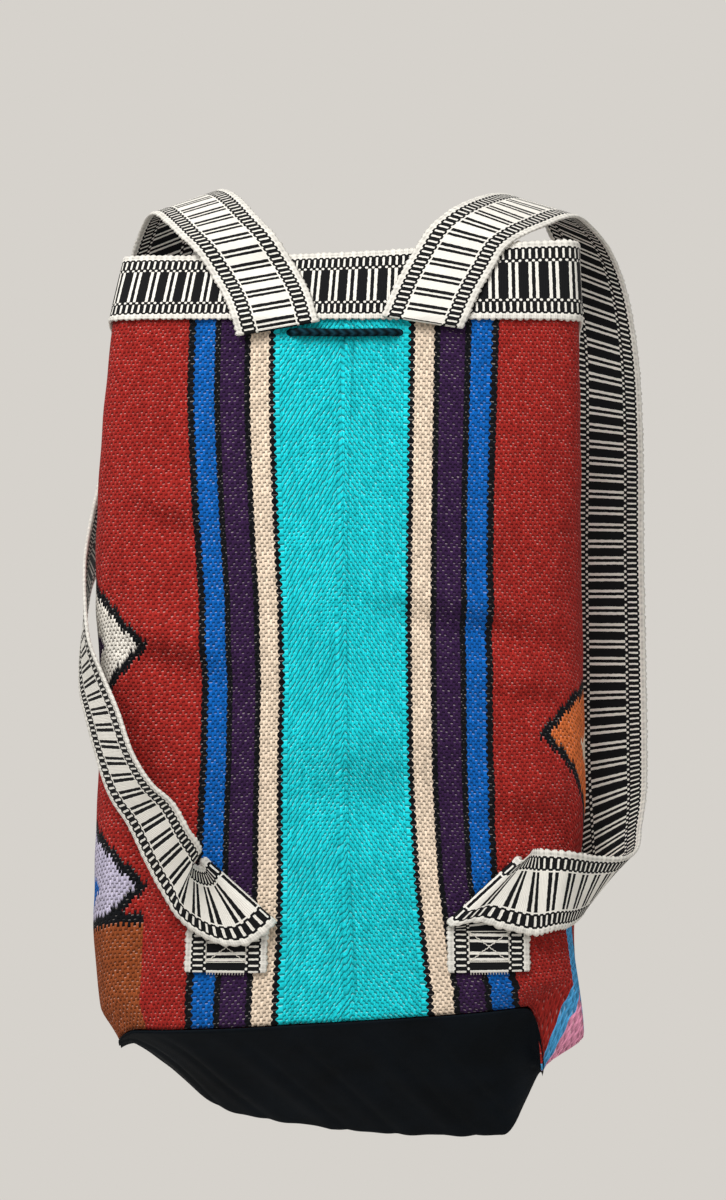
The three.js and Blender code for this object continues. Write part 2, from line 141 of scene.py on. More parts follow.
# The woven body: one wool tapestry, woven weft-faced on the loom, turned so that its wefts run
# down the bag, wrapped into a tube and joined by a seam down the middle of the back.
MOUTH_WIDTH, BELLY_WIDTH, BASE_WIDTH = 0.286, 0.316, 0.310
MOUTH_DEPTH, BELLY_DEPTH, BASE_DEPTH = 0.074, 0.104, 0.092
BACK_HEIGHT = 0.490
CLOTH = 0.0032
SIDE_ROUNDNESS, MOUTH_ROUNDNESS, FLAT_REACH = 3, 8, 0.240
BELLY_SHIFT, BASE_SHIFT = -0.008, -0.001
FRONT_DROP, MOUTH_SIDE_DROP = 0.050, 0.004
BASE_FRONT_LEFT_DROP, LEFT_END_REACH = 0.012, 0.55
BASE_LEFT_DROP, BASE_RIGHT_DROP = 0.010, 0.046
CORNER_START, CORNER_END = 0.17, 0.42
BASE_TILT = 0.008
LEFT_TUCK, RIGHT_TUCK, TUCK_HEIGHT = 0.008, 0.028, 0.020
BAND_WIDTH = 0.050
LEFT_LEAN, MOUTH_LEAN, RIGHT_LEAN = 0.026, 0.024, 0.006
TOP_MARGIN = 0.004
BAG_PLACE = np.array((0, -0.070, -0.037))
BAND_FOOT = -math.sqrt(BAND_WIDTH**2 - MOUTH_LEAN**2)
SEAM_HEIGHT = BAND_FOOT - (BACK_HEIGHT - BAND_WIDTH)

# Soft dents (a negative depth is a bulge): place and spread round the tube as shares of a turn
# from the back seam to the right, then place and spread down the cloth
DENTS = (
    (0.235, 0.055, 0.420, 0.048, 0.010),
    (0.77, 0.05, 0.292, 0.062, 0.006),
    (0.88, 0.07, 0.292, 0.026, 0.003),
    (0.775, 0.045, 0.440, 0.046, -0.004),
    (0.3, 0.04, 0.210, 0.090, 0.004),
    (0.43, 0.06, 0.340, 0.050, 0.005),
    (0.58, 0.06, 0.240, 0.070, -0.004),
    (0.68, 0.04, 0.170, 0.080, 0.004),
)


def through(top, middle, bottom, share):
    return (
        top * (1 - share) * (1 - 2 * share)
        + middle * 4 * share * (1 - share)
        + bottom * share * (2 * share - 1)
    )


def smooth(value, start, end):
    share = np.clip((value - start) / (end - start), 0, 1)
    return share * share * (3 - 2 * share)


def signed_power(value, exponent):
    return np.sign(value) * np.abs(value) ** exponent


# The belly's oval gives even steps of cloth round the tube
oval_turns = np.linspace(0, 1, 1201)
oval_x = BELLY_WIDTH / 2 * signed_power(np.sin(2 * np.pi * oval_turns), 2 / SIDE_ROUNDNESS)
oval_y = -BELLY_DEPTH / 2 * signed_power(np.cos(2 * np.pi * oval_turns), 2 / SIDE_ROUNDNESS)
oval_lengths = np.concatenate([[0], np.cumsum(np.hypot(np.diff(oval_x), np.diff(oval_y)))])
GIRTH = oval_lengths[-1]


def tube_sizes(down):
    share = np.clip(down / BACK_HEIGHT, 0, 1)
    tuck = smooth(down, BACK_HEIGHT - TUCK_HEIGHT, BACK_HEIGHT)
    half_width = (through(MOUTH_WIDTH, BELLY_WIDTH, BASE_WIDTH, share) - tuck * (LEFT_TUCK + RIGHT_TUCK)) / 2
    depth = through(MOUTH_DEPTH, BELLY_DEPTH, BASE_DEPTH, share)
    shift = through(0, BELLY_SHIFT, BASE_SHIFT, share) - tuck * (RIGHT_TUCK - LEFT_TUCK) / 2
    roundness = MOUTH_ROUNDNESS + (SIDE_ROUNDNESS - MOUTH_ROUNDNESS) * smooth(down, 0, FLAT_REACH)
    return half_width, depth, shift, roundness, share


def hang(across, ahead, share):
    """How far a place round the tube hangs from the height of the back's middle."""
    base_side = BASE_LEFT_DROP + (BASE_RIGHT_DROP - BASE_LEFT_DROP) * (1 + across) / 2
    side = MOUTH_SIDE_DROP + (base_side - MOUTH_SIDE_DROP) * share**3
    side_drop = side * smooth(ahead, CORNER_START, CORNER_END)
    left_end = share**3 * (1 - smooth(across, -1, LEFT_END_REACH - 1))
    front = FRONT_DROP + (BASE_FRONT_LEFT_DROP - FRONT_DROP) * left_end
    front_drop = (front - side) * smooth(ahead, CORNER_END, 1)
    return BASE_TILT * across * share**4 - side_drop - front_drop


def lean_at(across):
    return through(LEFT_LEAN, MOUTH_LEAN, RIGHT_LEAN, (1 + across) / 2)


def back_share(across, roundness):
    return np.maximum(0, 1 - np.abs(across) ** roundness) ** (1 / roundness)


def bag_point(turn, down, out):
    """A point at a share of a turn from the back seam, down the cloth, and out from its outer face."""
    turn, down, out = np.broadcast_arrays(*(np.asarray(value, float) for value in (turn, down, out)))
    half_width, depth, shift, roundness, share = tube_sizes(down)
    angle = 2 * np.pi * np.interp((turn - np.floor(turn)) * GIRTH, oval_lengths, oval_turns)
    across = signed_power(np.sin(angle), 2 / SIDE_ROUNDNESS)
    back = np.sign(np.cos(angle)) * back_share(across, roundness)
    outward_x = signed_power(across, roundness - 1) / half_width
    outward_y = -signed_power(back, roundness - 1) / (depth / 2)
    size = np.hypot(outward_x, outward_y)
    lean = lean_at(across)
    ahead = (1 - back) / 2
    up = np.maximum(0, 1 - down / BAND_WIDTH)
    offset = out.copy()
    for dent_turn, turn_spread, dent_down, down_spread, dent_depth in DENTS:
        round_by = turn - dent_turn
        round_by = round_by - np.round(round_by)
        far = (round_by / turn_spread) ** 2 + ((down - dent_down) / down_spread) ** 2
        offset -= dent_depth * np.exp(-far)
    height = up * np.sqrt(BAND_WIDTH**2 - lean**2) - np.maximum(0, down - BAND_WIDTH)
    place = np.stack(
        [
            shift + half_width * across + outward_x / size * offset,
            depth * ahead + lean * up + outward_y / size * offset,
            BAND_FOOT + height + hang(across, ahead, share),
        ],
        axis=-1,
    )
    return place + BAG_PLACE


def cloth_piece(name, places, faces, corner_map, material, **corner_values):
    """A mesh piece from points and faces, with a map of the cloth in metres and values for its corners."""
    mesh = bpy.data.meshes.new(name)
    mesh.from_pydata(np.asarray(places).tolist(), [], faces)
    mesh.uv_layers.new(name="cloth").data.foreach_set("uv", np.asarray(corner_map, np.float32).ravel())
    for value_name, values in corner_values.items():
        attribute = mesh.attributes.new(value_name, "FLOAT", "CORNER")
        attribute.data.foreach_set("value", np.asarray(values, np.float32).ravel())
    mesh.materials.append(material)
    mesh.polygons.foreach_set("use_smooth", [True] * len(mesh.polygons))
    piece = bpy.data.objects.new(name, mesh)
    bpy.context.scene.collection.objects.link(piece)
    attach(piece, "root")
    return piece


# Wool tapestry: matt, slightly hairy yarn. Wefts of 1.6 mm lie side by side and show as beads
# 4.7 mm long, set like bricks, so that every change of colour between them is a fine zigzag.
# The beads are drawn slightly coarser than the real ones, so that they show.
BEAD = 0.0047
WEFT = 0.0016
STRIPE_MIDDLE = -0.0015
YARNS = {
    "rust": linear("#97241e"),
    "turquoise": linear("#14c4cd"),
    "blue": linear("#0559a8"),
    "purple": linear("#30193c"),
    "cream": linear("#dfcab2"),
    "black": linear("#0c0d11"),
    "white": linear("#ece6da"),
    "lavender": linear("#b5aec2"),
    "sky": linear("#4a9ccf"),
    "pink": linear("#dd8fab"),
    "brown": linear("#8a4522"),
    "orange": linear("#cf6a35"),
}
# The stripes of the back, from the middle outwards on both sides: yarn, wefts and where they end
STRIPES = (
    ("turquoise", 26, 0.0404),
    ("black", 2, 0.0472),
    ("cream", 7, 0.0588),
    ("black", 2, 0.0624),
    ("purple", 9, 0.0774),
    ("black", 2, 0.0794),
    ("blue", 7, 0.0908),
    ("black", 2, 0.0962),
)
STRIPED = sum(wefts for _, wefts, _ in STRIPES)
RUST_WEFTS = (GIRTH / 2 - STRIPES[-1][2]) / WEFT
FRONT = STRIPED + RUST_WEFTS


def in_yarn(*steps):
    """The steps of a ramp, with its colours given as yarns."""
    return [(start, YARNS[yarn]) for start, yarn in steps]


def past_middle(count):
    """How far a count is past the middle of its own step."""
    return add_node("Math SUBTRACT", add_node("Math FRACT", count), 0.5)


def laid_over(colours, count, start, others):
    """Other colours where a count is past its start."""
    return add_node("MixRGB", add_node("Math GREATER_THAN", count, start), colours, others)


wool, tree = new_material("wool_tapestry")
cloth_map = add_node("SeparateXYZ", add_node("UVMap", uv_map="cloth"))
from_stripes = add_node("Math SUBTRACT", cloth_map.outputs[0], STRIPE_MIDDLE)
side = add_node("Math SIGN", from_stripes)
outwards = add_node("Math ABSOLUTE", from_stripes)
across = None
began = 0.0
for _, wefts, ended in (*STRIPES, ("rust", RUST_WEFTS, GIRTH / 2)):
    counted = add_node("MapRange", outwards, began, ended, 0.0, wefts)
    across = counted if across is None else add_node("Math ADD", across, counted)
    began = ended
along = add_node("Math DIVIDE", cloth_map.outputs[1], BEAD)
edge_odd = add_node("Math FLOORED_MODULO", add_node("Math ROUND", across), 2.0)
swing_side = add_node("Math MULTIPLY_ADD", edge_odd, -0.5, 0.25)
swing_turn = add_node("Math COSINE", add_node("Math MULTIPLY", along, 2 * math.pi))
swing = add_node("Math MULTIPLY", swing_side, swing_turn)
weft = add_node("Math FLOOR", add_node("Math SUBTRACT", across, swing))
in_wefts = add_node("Math MULTIPLY_ADD", swing, -0.3, across)
own_weft = add_node("Math FLOOR", in_wefts)
weft_odd = add_node("Math FLOORED_MODULO", own_weft, 2.0)
bead_x = past_middle(in_wefts)
# The beads are uneven, and where the middle stripe is drawn aside their ends join into diagonal ridges
lie = add_node("TexNoise", add_node("UVMap", uv_map="cloth"), named={"Scale": 24.0, "Detail": 1.0})
ridged = add_node(
    "Math MULTIPLY",
    add_node("Math LESS_THAN", across, STRIPES[0][1]),
    add_node("MapRange", side, -1.0, 1.0, -0.42, -0.2),
)
ridging = add_node("Math MULTIPLY_ADD", ridged, add_node("MapRange", lie, 0.35, 0.55, 0.3, 1.0), -0.06)
aslant = add_node("Math MULTIPLY", ridging, bead_x)
yarn_place = add_node(
    "CombineXYZ", add_node("Math MULTIPLY", own_weft, 0.73), add_node("Math MULTIPLY", along, 0.6), side
)
uneven = add_node("TexNoise", yarn_place, named={"Scale": 1.0, "Detail": 1.0})
staggered = add_node("Math MULTIPLY_ADD", weft_odd, 0.5, along)
shifted = add_node("Math MULTIPLY_ADD", uneven, 0.7, staggered)
in_beads = add_node("Math ADD", shifted, aslant)
bead = add_node("Math FLOOR", in_beads)
bead_y = past_middle(in_beads)
bead_level = add_node("Math MULTIPLY", add_node("Math MULTIPLY_ADD", weft_odd, -0.5, bead), BEAD)

# The stripes of the back, on the count of wefts
steps = []
count = 0
for yarn, wefts, _ in (*STRIPES, ("rust", 0, 0)):
    steps.append((count / FRONT, YARNS[yarn]))
    count += wefts
weft_share = add_node("Math MULTIPLY_ADD", weft, 1 / FRONT, 0.5 / FRONT)
stripes = add_node("ValToRGB", weft_share, steps=steps)

# The sides: large triangles in plain yarn, two on the left and one on the right, each with a black
# outline and a smaller one inside it, then three upright lines
TIP, BASE_LINE = 76, 122
TRIANGLE_TOP, TRIANGLE_HEIGHT, RIGHT_DROP = 0.178, 0.150, 0.058
FIELD, CORE = 0.11, 0.46
to_right = add_node("Math GREATER_THAN", side, 0.0)
lowered = add_node("Math MULTIPLY_ADD", to_right, -RIGHT_DROP, bead_level)
stack = add_node("Math MULTIPLY_ADD", lowered, 1 / TRIANGLE_HEIGHT, -TRIANGLE_TOP / TRIANGLE_HEIGHT)
level = add_node("Math FLOOR", stack)
from_middle = past_middle(stack)
slope = add_node("Math MULTIPLY", add_node("Math ABSOLUTE", from_middle), 2.0)
reach = add_node("Math MULTIPLY_ADD", weft, 1 / (BASE_LINE - TIP), -TIP / (BASE_LINE - TIP))
started = add_node("Math GREATER_THAN", stack, 0.0)
single = add_node("Math LESS_THAN", add_node("Math MULTIPLY", to_right, level), 0.5)
drawn = add_node("Math MULTIPLY", started, single)
inside = add_node("Math MULTIPLY", add_node("Math SUBTRACT", reach, slope), drawn)
which = add_node("Math MULTIPLY_ADD", add_node("Math MULTIPLY_ADD", to_right, 2.0, level), 0.25, 0.125)
fields = add_node("ValToRGB", which, steps=in_yarn((0, "white"), (0.25, "lavender"), (0.5, "orange")))
cores = add_node("ValToRGB", which, steps=in_yarn((0, "purple"), (0.25, "blue"), (0.5, "cream")))
coloured = laid_over(stripes, inside, 0.0, YARNS["black"])
coloured = laid_over(coloured, inside, FIELD, fields)
coloured = laid_over(coloured, inside, CORE, cores)

# A border of plain fields along the bottom of the sides
BORDER_START, BORDER_TOP, RIGHT_SHIFT = 77, 0.420, 9.0
CORNER_WEFT, CORNER_LEVEL = 91.5, 0.46
from_border = add_node("Math MULTIPLY_ADD", to_right, -RIGHT_SHIFT, weft)
beyond = add_node("Math GREATER_THAN", from_border, BORDER_START)
low = add_node("Math GREATER_THAN", bead_level, BORDER_TOP)
past_corner = add_node("Math GREATER_THAN", weft, CORNER_WEFT)
lowest = add_node("Math MULTIPLY_ADD", past_corner, 0.1, CORNER_LEVEL)
edge_level = add_node("Math MINIMUM", bead_level, lowest)
border_side = add_node("Math MULTIPLY_ADD", to_right, 0.5, edge_level)
border = add_node(
    "ValToRGB",
    border_side,
    steps=in_yarn((0, "black"), (0.424, "brown"), (0.6, "black"), (0.924, "sky"), (0.966, "pink")),
)
coloured = add_node("MixRGB", add_node("Math MULTIPLY", beyond, low), coloured, border)

# The front: stepped diamonds one above the other, in rings of plain colour
DIAMOND_WEFTS, DIAMOND_HEIGHT = 74, 0.163
from_front = add_node("Math MULTIPLY_ADD", weft, -1 / DIAMOND_WEFTS, FRONT / DIAMOND_WEFTS)
tier = add_node("Math MULTIPLY_ADD", bead_level, 1 / DIAMOND_HEIGHT, 0.3)
in_tier = past_middle(tier)
in_diamond = add_node("Math MULTIPLY_ADD", add_node("Math ABSOLUTE", in_tier), 2.0, from_front)
half_diamond = add_node("Math MULTIPLY", in_diamond, 0.5)
rings = add_node(
    "ValToRGB",
    half_diamond,
    steps=in_yarn(
        (0, "orange"),
        (0.11, "black"),
        (0.14, "sky"),
        (0.25, "cream"),
        (0.29, "black"),
        (0.32, "purple"),
        (0.42, "turquoise"),
        (0.46, "black"),
        (0.49, "rust"),
    ),
)
lines = add_node(
    "ValToRGB",
    weft_share,
    steps=in_yarn(
        (0, "rust"),
        (BASE_LINE / FRONT, "black"),
        ((BASE_LINE + 2) / FRONT, "white"),
        ((BASE_LINE + 5) / FRONT, "black"),
    ),
)
coloured = laid_over(coloured, weft, BASE_LINE - 0.5, lines)
yarn_colour = laid_over(coloured, weft, BASE_LINE + 6.5, rings)

# Each bead's own shade, and the slow fading of hand-dyed yarn along a weft
bead_name = add_node("CombineXYZ", own_weft, bead, side)
chance = add_node("TexWhiteNoise", bead_name, noise_dimensions="3D")
dye_place = add_node(
    "CombineXYZ", add_node("Math MULTIPLY", weft, 0.31), add_node("Math MULTIPLY", along, 0.06), side
)
dye = add_node("TexNoise", dye_place, named={"Scale": 1.0, "Detail": 3.0})
shade = add_node("Math MULTIPLY_ADD", chance, 0.3, 0.87)
dyed = add_node("Math MULTIPLY", add_node("Math MULTIPLY_ADD", dye, 0.5, 0.75), shade)

# A bead's height: round across, flat along and falling steeply at its ends, leaning with the
# twist of its plies, which show as fine slanting ridges
leaning = add_node("Math MULTIPLY_ADD", bead_y, 0.1, bead_x)
round_across = add_node("Math MULTIPLY_ADD", add_node("Math MULTIPLY", leaning, leaning), -0.8, 1.0)
to_end = add_node("Math ABSOLUTE", bead_y)
end_fall = add_node("Math MULTIPLY_ADD", add_node("Math POWER", to_end, 4.0), -15.0, 1.0)
swell = add_node("Math MULTIPLY", round_across, end_fall)
ply_place = add_node("Math MULTIPLY_ADD", bead_x, 8.0, add_node("Math MULTIPLY", bead_y, 15.0))
plies = add_node("Math MULTIPLY_ADD", add_node("Math SINE", ply_place), 0.07, swell)
# Painted shade and highlight on every bead, as if lit from above: lighter over its upper half, darker towards
# its lower end, and a little darker towards its sides
from_middle = add_node("Math ABSOLUTE", bead_x)
painted_edge_shade = add_node("MapRange", from_middle, 0.2, 0.5, 1.05, 0.93)
painted_end_shade = add_node("MapRange", bead_y, 0.0, 0.5, 1.16, 0.56, interpolation_type="SMOOTHSTEP")
painted_bead_shade = add_node("Math MULTIPLY", painted_edge_shade, painted_end_shade)
dye_and_painted_shade = add_node("Math MULTIPLY", dyed, painted_bead_shade)
shaded = add_node("VectorMath SCALE", yarn_colour, named={"Scale": dye_and_painted_shade})

# The undyed warp peeps out between two beads of one weft, more at some crossings than at others; the pale
# specks, set at each bead's upper end where the light falls, are partly painted highlight
at_end = add_node("Math LESS_THAN", bead_y, -0.38)
at_middle = add_node("Math LESS_THAN", from_middle, 0.36)
peep = add_node("Math MULTIPLY", at_end, at_middle)
often = add_node("MapRange", chance, 0.3, 1.0, 0.0, 0.28)
peeping = add_node("Math MULTIPLY", peep, often)
warp_and_painted_highlight = add_node("MixRGB", peeping, shaded.outputs[0], linear("#ece0d6"))
# Painted shade along the seam's two rows of stitches, in the dimples where they draw the cloth in
stitch_line = add_node("Attribute", attribute_name="stitch_line")
painted_stitch_shade = add_node("Math MULTIPLY_ADD", stitch_line.outputs["Fac"], -0.3, 1.0)
seamed = add_node("VectorMath SCALE", warp_and_painted_highlight, named={"Scale": painted_stitch_shade})
relief = add_node("Bump", named={"Strength": 1.0, "Distance": 0.0009, "Height": plies})
feed(
    tree.nodes["Principled BSDF"],
    {
        "Base Color": seamed,
        "Roughness": 0.92,
        "Specular IOR Level": 0.12,
        "Sheen Weight": 0.02,
        "Sheen Roughness": 0.6,
        "Normal": relief,
    },
)


# How far the striped cloth has crept sideways as it hangs: drawn in at the left, pulled out at the
# lower right. A place down the cloth, then the creep at four places round it.
CREEP_PLACES, CREEP_REACH = (-0.0992, -0.0443, 0.0413, 0.0962), 0.22
CREEP = np.array(
    (
        (0.050, 0.0054, 0.0018, -0.0006, -0.0072),
        (0.100, 0.0021, -0.0013, -0.0012, -0.0053),
        (0.164, -0.0054, -0.0062, -0.0014, -0.0029),
        (0.226, -0.0121, -0.0108, -0.0008, -0.0018),
        (0.276, -0.0139, -0.0123, -0.0008, -0.0011),
        (0.326, -0.0135, -0.0106, -0.0008, -0.0004),
        (0.401, -0.0075, -0.0084, -0.0032, -0.0017),
        (0.440, -0.0014, -0.0059, -0.0057, -0.0075),
        (0.470, 0.0036, -0.0019, -0.0078, -0.0123),
        (0.478, 0.0053, -0.0028, -0.0138, -0.0216),
        (0.484, 0.0070, -0.0049, -0.0221, -0.0350),
        (0.490, 0.0084, -0.0058, -0.0270, -0.0437),
    )
)


def drift(turn, down):
    """The creep of the striped cloth at any place, fading out round the sides."""
    knots = [(-CREEP_REACH, 0)]
    for place, creep in zip(CREEP_PLACES, CREEP.T[1:]):
        drawn = np.interp(down, CREEP[:, 0], creep)
        knots.append((place - drawn, drawn))
    knots.append((CREEP_REACH, 0))
    crept = np.zeros(np.shape(turn))
    for (start, first), (end, last) in zip(knots, knots[1:]):
        crept += (last - first) * np.clip((turn * GIRTH - start) / (end - start), 0, 1)
    return crept


# The cloth's own relief: hand-woven unevenness, soft folds, a long one at the left, and the back
# seam, a low double ridge between two rows of stitches that draw the cloth in
SEAM_PLACE, SEAM_HALF, SEAM_START, SEAM_FULL, STITCH = 0.0030, 0.0034, 0.045, 0.06, 0.0094
UNEVENNESS, WAVINESS, SEAM_RELIEF = 0.00035, 0.00022, 0.0006


def stitch_rows(turn, down):
    seam = np.abs((turn * GIRTH - SEAM_PLACE) / SEAM_HALF)
    dashes = 0.65 + 0.35 * np.sin(down * 2 * np.pi / STITCH)
    return np.exp(-((seam - 1.0) ** 2) / 0.03) * dashes * smooth(down, SEAM_START, SEAM_FULL)


# Soft folds, each standing out above its middle and drawn in below: place and spread round the cloth,
# place, lean and spread down it, and depth
FOLDS = (
    (-0.108, 0.025, 0.1735, 0.4, 0.014, 0.0034),
    (-0.105, 0.034, 0.2585, 0.3, 0.016, 0.0048),
    (0.085, 0.055, 0.2375, 0.19, 0.014, 0.0042),
    (0.118, 0.030, 0.2837, 0.1, 0.010, 0.0021),
    (0.020, 0.050, 0.334, 0.0, 0.030, 0.0045),
    (0.115, 0.030, 0.359, 0.0, 0.018, 0.0036),
)
# Makes the depth of a fold its deepest place
FOLD_PEAK = 2.33
# The long fold: where it runs down the cloth, then its valley and the ridge beside it
LONG_FOLD = ((0.30, -0.116), (0.40, -0.127), (0.47, -0.136))
VALLEY_DEPTH, VALLEY_HALF = 0.0045, 0.009
RIDGE_HEIGHT, RIDGE_PLACE, RIDGE_HALF = 0.0025, 0.023, 0.013
GROWS, FADES = (0.28, 0.36), (0.45, 0.485)


def fold_in(turn, down):
    place = turn * GIRTH
    sunk = np.zeros(np.shape(place))
    for middle, spread, middle_down, lean, down_spread, depth in FOLDS:
        below = (down - middle_down - lean * (place - middle)) / down_spread
        sunk += FOLD_PEAK * depth * below * np.exp(-(((place - middle) / spread) ** 2) - below**2)
    beside = place - np.interp(down, *zip(*LONG_FOLD))
    valley = VALLEY_DEPTH * np.exp(-((beside / VALLEY_HALF) ** 2))
    ridge = RIDGE_HEIGHT * np.exp(-(((beside - RIDGE_PLACE) / RIDGE_HALF) ** 2))
    return sunk + (valley - ridge) * smooth(down, *GROWS) * (1 - smooth(down, *FADES))


def relief_out(turn, down):
    place = turn * GIRTH
    uneven = np.sin(place * 95 + 3 * np.sin(down * 31)) * np.sin(down * 70 + 2 * np.sin(place * 24))
    waves = np.sin(down * 160 + place * 40) * np.sin(place * 130 + 1.3)
    seam = np.abs((place - SEAM_PLACE) / SEAM_HALF)
    ridge = np.exp(-((seam - 0.45) ** 2) / 0.12) * smooth(down, SEAM_START, SEAM_FULL)
    seam_relief = SEAM_RELIEF * (ridge - stitch_rows(turn, down))
    return UNEVENNESS * uneven + WAVINESS * waves + seam_relief


BODY_COLUMNS, BODY_ROWS = 247, 164
HEM, HEM_ROUNDING = 0.006, 0.0009
SEAM_FROM, SEAM_TO, SEAM_STEP = -0.0036, 0.0101, 0.0006
seam_turns = np.arange(SEAM_FROM, SEAM_TO, SEAM_STEP) / GIRTH
turns = np.unique(np.concatenate([np.linspace(-0.5, 0.5, BODY_COLUMNS), seam_turns]))
downs = np.linspace(TOP_MARGIN, BACK_HEIGHT, BODY_ROWS)
ring, rows = len(turns) - 1, len(downs)
turn_grid, down_grid = np.meshgrid(turns[:-1], downs, indexing="ij")
hem = HEM_ROUNDING * smooth(down_grid, BACK_HEIGHT - HEM, BACK_HEIGHT) ** 2
sunk = fold_in(turn_grid, down_grid)
outer = bag_point(turn_grid, down_grid, relief_out(turn_grid, down_grid) - sunk - hem)
inner = bag_point(turn_grid, down_grid, -CLOTH - sunk + hem)


def sweep(stations, size, closed):
    """The faces between closed sections of a size, with end faces where the sweep isn't closed itself, and
    the station and the spot on the section of every corner."""
    spans = np.arange(stations if closed else stations - 1)
    station, spot = np.meshgrid(spans, np.arange(size), indexing="ij")
    at = station.reshape(-1, 1) + [0, 0, 1, 1]
    spot = spot.reshape(-1, 1) + [0, 1, 1, 0]
    faces = (at % stations * size + spot % size).tolist()
    at, spot = at.ravel(), spot.ravel()
    if not closed:
        for end, order in ((0, np.arange(size)[::-1]), (stations - 1, np.arange(size))):
            faces.append((end * size + order).tolist())
            at, spot = np.append(at, np.full(size, end)), np.append(spot, order)
    return faces, at, spot


# Each section goes down the outer face and up the inner one
sections = np.concatenate([outer, inner[:, ::-1]], axis=1)
body_faces, column, spot = sweep(ring, 2 * rows, closed=True)
row = np.concatenate([np.arange(rows), np.arange(rows)[::-1]])[spot % (2 * rows)]
body_turns, body_downs = turns[column], downs[row]
# The wefts lie evenly round the sides and the front, also where the mouth's corners are tight
SIDE_START = 0.2
level_line = bag_point(turns[:, None], downs, 0)[..., :2]
level_steps = np.diff(level_line, axis=0, prepend=level_line[:1])
round_lengths = np.cumsum(np.linalg.norm(level_steps, axis=-1), axis=0)
weft_turns = np.repeat(turns[:, None], rows, axis=1)
for level in range(rows):
    for first, last in ((-0.5, -SIDE_START), (SIDE_START, 0.5)):
        start, end = np.interp((first, last), turns, round_lengths[:, level])
        beside = (turns >= first) & (turns <= last)
        share = (round_lengths[beside, level] - start) / (end - start)
        weft_turns[beside, level] = first + (last - first) * share
body_places = weft_turns[column, row] * GIRTH + drift(body_turns, body_downs)
body_map = np.stack([body_places, body_downs], axis=-1)
body = cloth_piece(
    "tapestry_tube",
    sections.reshape(-1, 3),
    body_faces,
    body_map,
    wool,
    stitch_line=stitch_rows(body_turns, body_downs),
)
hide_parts("woven_body")


# The black base: a thin plain cotton cloth, sewn round the tube's lower edge. It hangs slack, and
# folds along a crease near the front.
BASE_CLOTH = 0.0016
BASE_SAG, BASE_BOW, CREASE = 0.048, 0.003, 0.82
SAG_START, SAG_END = 0.05, 0.88
BASE_GAP = 0.0004
RIM_STEP = 1 / 48
END_TURN = 11 * RIM_STEP
FOLD_COUNT, FOLD_FAN, FOLD_SIZES = 5.2, 1.6, (0.0014, 0.0006)


def wave(run, length):
    """A sine wave of this length along a run."""
    return add_node("Math SINE", add_node("Math MULTIPLY", run, 2 * math.pi / length))


# Black cotton: a dull plain weave, rubbed slightly paler in places and softly crumpled. Its threads
# are drawn coarser than the real ones, which are too fine to show.
THREAD_PITCH = 0.0011
cotton, tree = new_material("black_cotton")
place = add_node("SeparateXYZ", add_node("UVMap", uv_map="cloth"))
warp = wave(place.outputs[0], THREAD_PITCH)
weft_thread = wave(place.outputs[1], THREAD_PITCH)
plain_weave = add_node("Math MULTIPLY", warp, weft_thread)
on_base = add_node("TexCoord").outputs["Object"]
rub = add_node("TexNoise", on_base, named={"Scale": 28.0, "Detail": 6.0, "Roughness": 0.6})
rubbed = add_node("MapRange", rub, 0.3, 0.8, 0.0, 1.0)
# Painted shade and highlight: the threads' raised crossings are painted lighter and the sunk ones darker,
# over the rubbed paler patches
rub_and_weave_shade = add_node("Math MULTIPLY_ADD", plain_weave, 0.12, rubbed)
cotton_colour = add_node("MixRGB", rub_and_weave_shade, linear("#04080c"), linear("#0c131a"))
crumple = add_node("TexNoise", on_base, named={"Scale": 45.0, "Detail": 4.0, "Roughness": 0.55})
height = add_node("Math MULTIPLY_ADD", plain_weave, 0.12, crumple)
relief = add_node("Bump", named={"Strength": 0.35, "Distance": 0.0012, "Height": height})
feed(
    tree.nodes["Principled BSDF"],
    {"Base Color": cotton_colour, "Roughness": 0.8, "Specular IOR Level": 0.08, "Normal": relief},
)

STATIONS, BASE_ROWS = 150, 60
alongs = np.linspace(0, 1, STATIONS)
station_turns = -END_TURN + 2 * END_TURN * alongs


def rim_point(turn):
    """Under the tube's lower rim, and lower where the rim runs steeply."""
    step = bag_point(turn + RIM_STEP, BACK_HEIGHT, 0) - bag_point(turn - RIM_STEP, BACK_HEIGHT, 0)
    steepness = np.abs(step[:, 2]) / np.hypot(step[:, 0], step[:, 1])
    rim = bag_point(turn, BACK_HEIGHT, 0)
    rim[:, 2] -= BASE_GAP + steepness * CLOTH / 2
    return rim


rear, front = rim_point(station_turns), rim_point(0.5 - station_turns)
rise = np.sin(np.clip((alongs - SAG_START) / (SAG_END - SAG_START), 0, 1) * math.pi / 2) ** 0.8
sag = BASE_SAG * rise * (1 - smooth(alongs, SAG_END, 1))
acrosses = np.linspace(0, 1, BASE_ROWS)
over = rear[:, None] * (1 - acrosses[:, None]) + front[:, None] * acrosses[:, None]
fall = np.where(acrosses < CREASE, acrosses / CREASE, (1 - acrosses) / (1 - CREASE))
slack = 4 * acrosses * (1 - acrosses)
over[..., 2] -= sag[:, None] * fall + BASE_BOW * slack
# Soft folds that fan out from the pulled right end
fold_run = alongs[:, None] * FOLD_COUNT - acrosses * FOLD_FAN
wide_folds = FOLD_SIZES[0] * np.sin(fold_run * 2 * math.pi)
small_folds = FOLD_SIZES[1] * np.sin(fold_run * 4.7 * math.pi + 1.0)
over[..., 2] -= np.abs(wide_folds + small_folds) * slack
under = over - np.array((0, 0, BASE_CLOTH))
sections = np.concatenate([under, over[:, ::-1]], axis=1)
base_faces, station, spot = sweep(STATIONS, 2 * BASE_ROWS, closed=False)
base_map = sections[station, spot % (2 * BASE_ROWS), :2]
base = cloth_piece("slack_base", sections.reshape(-1, 3), base_faces, base_map, cotton)
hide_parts("base_panel")


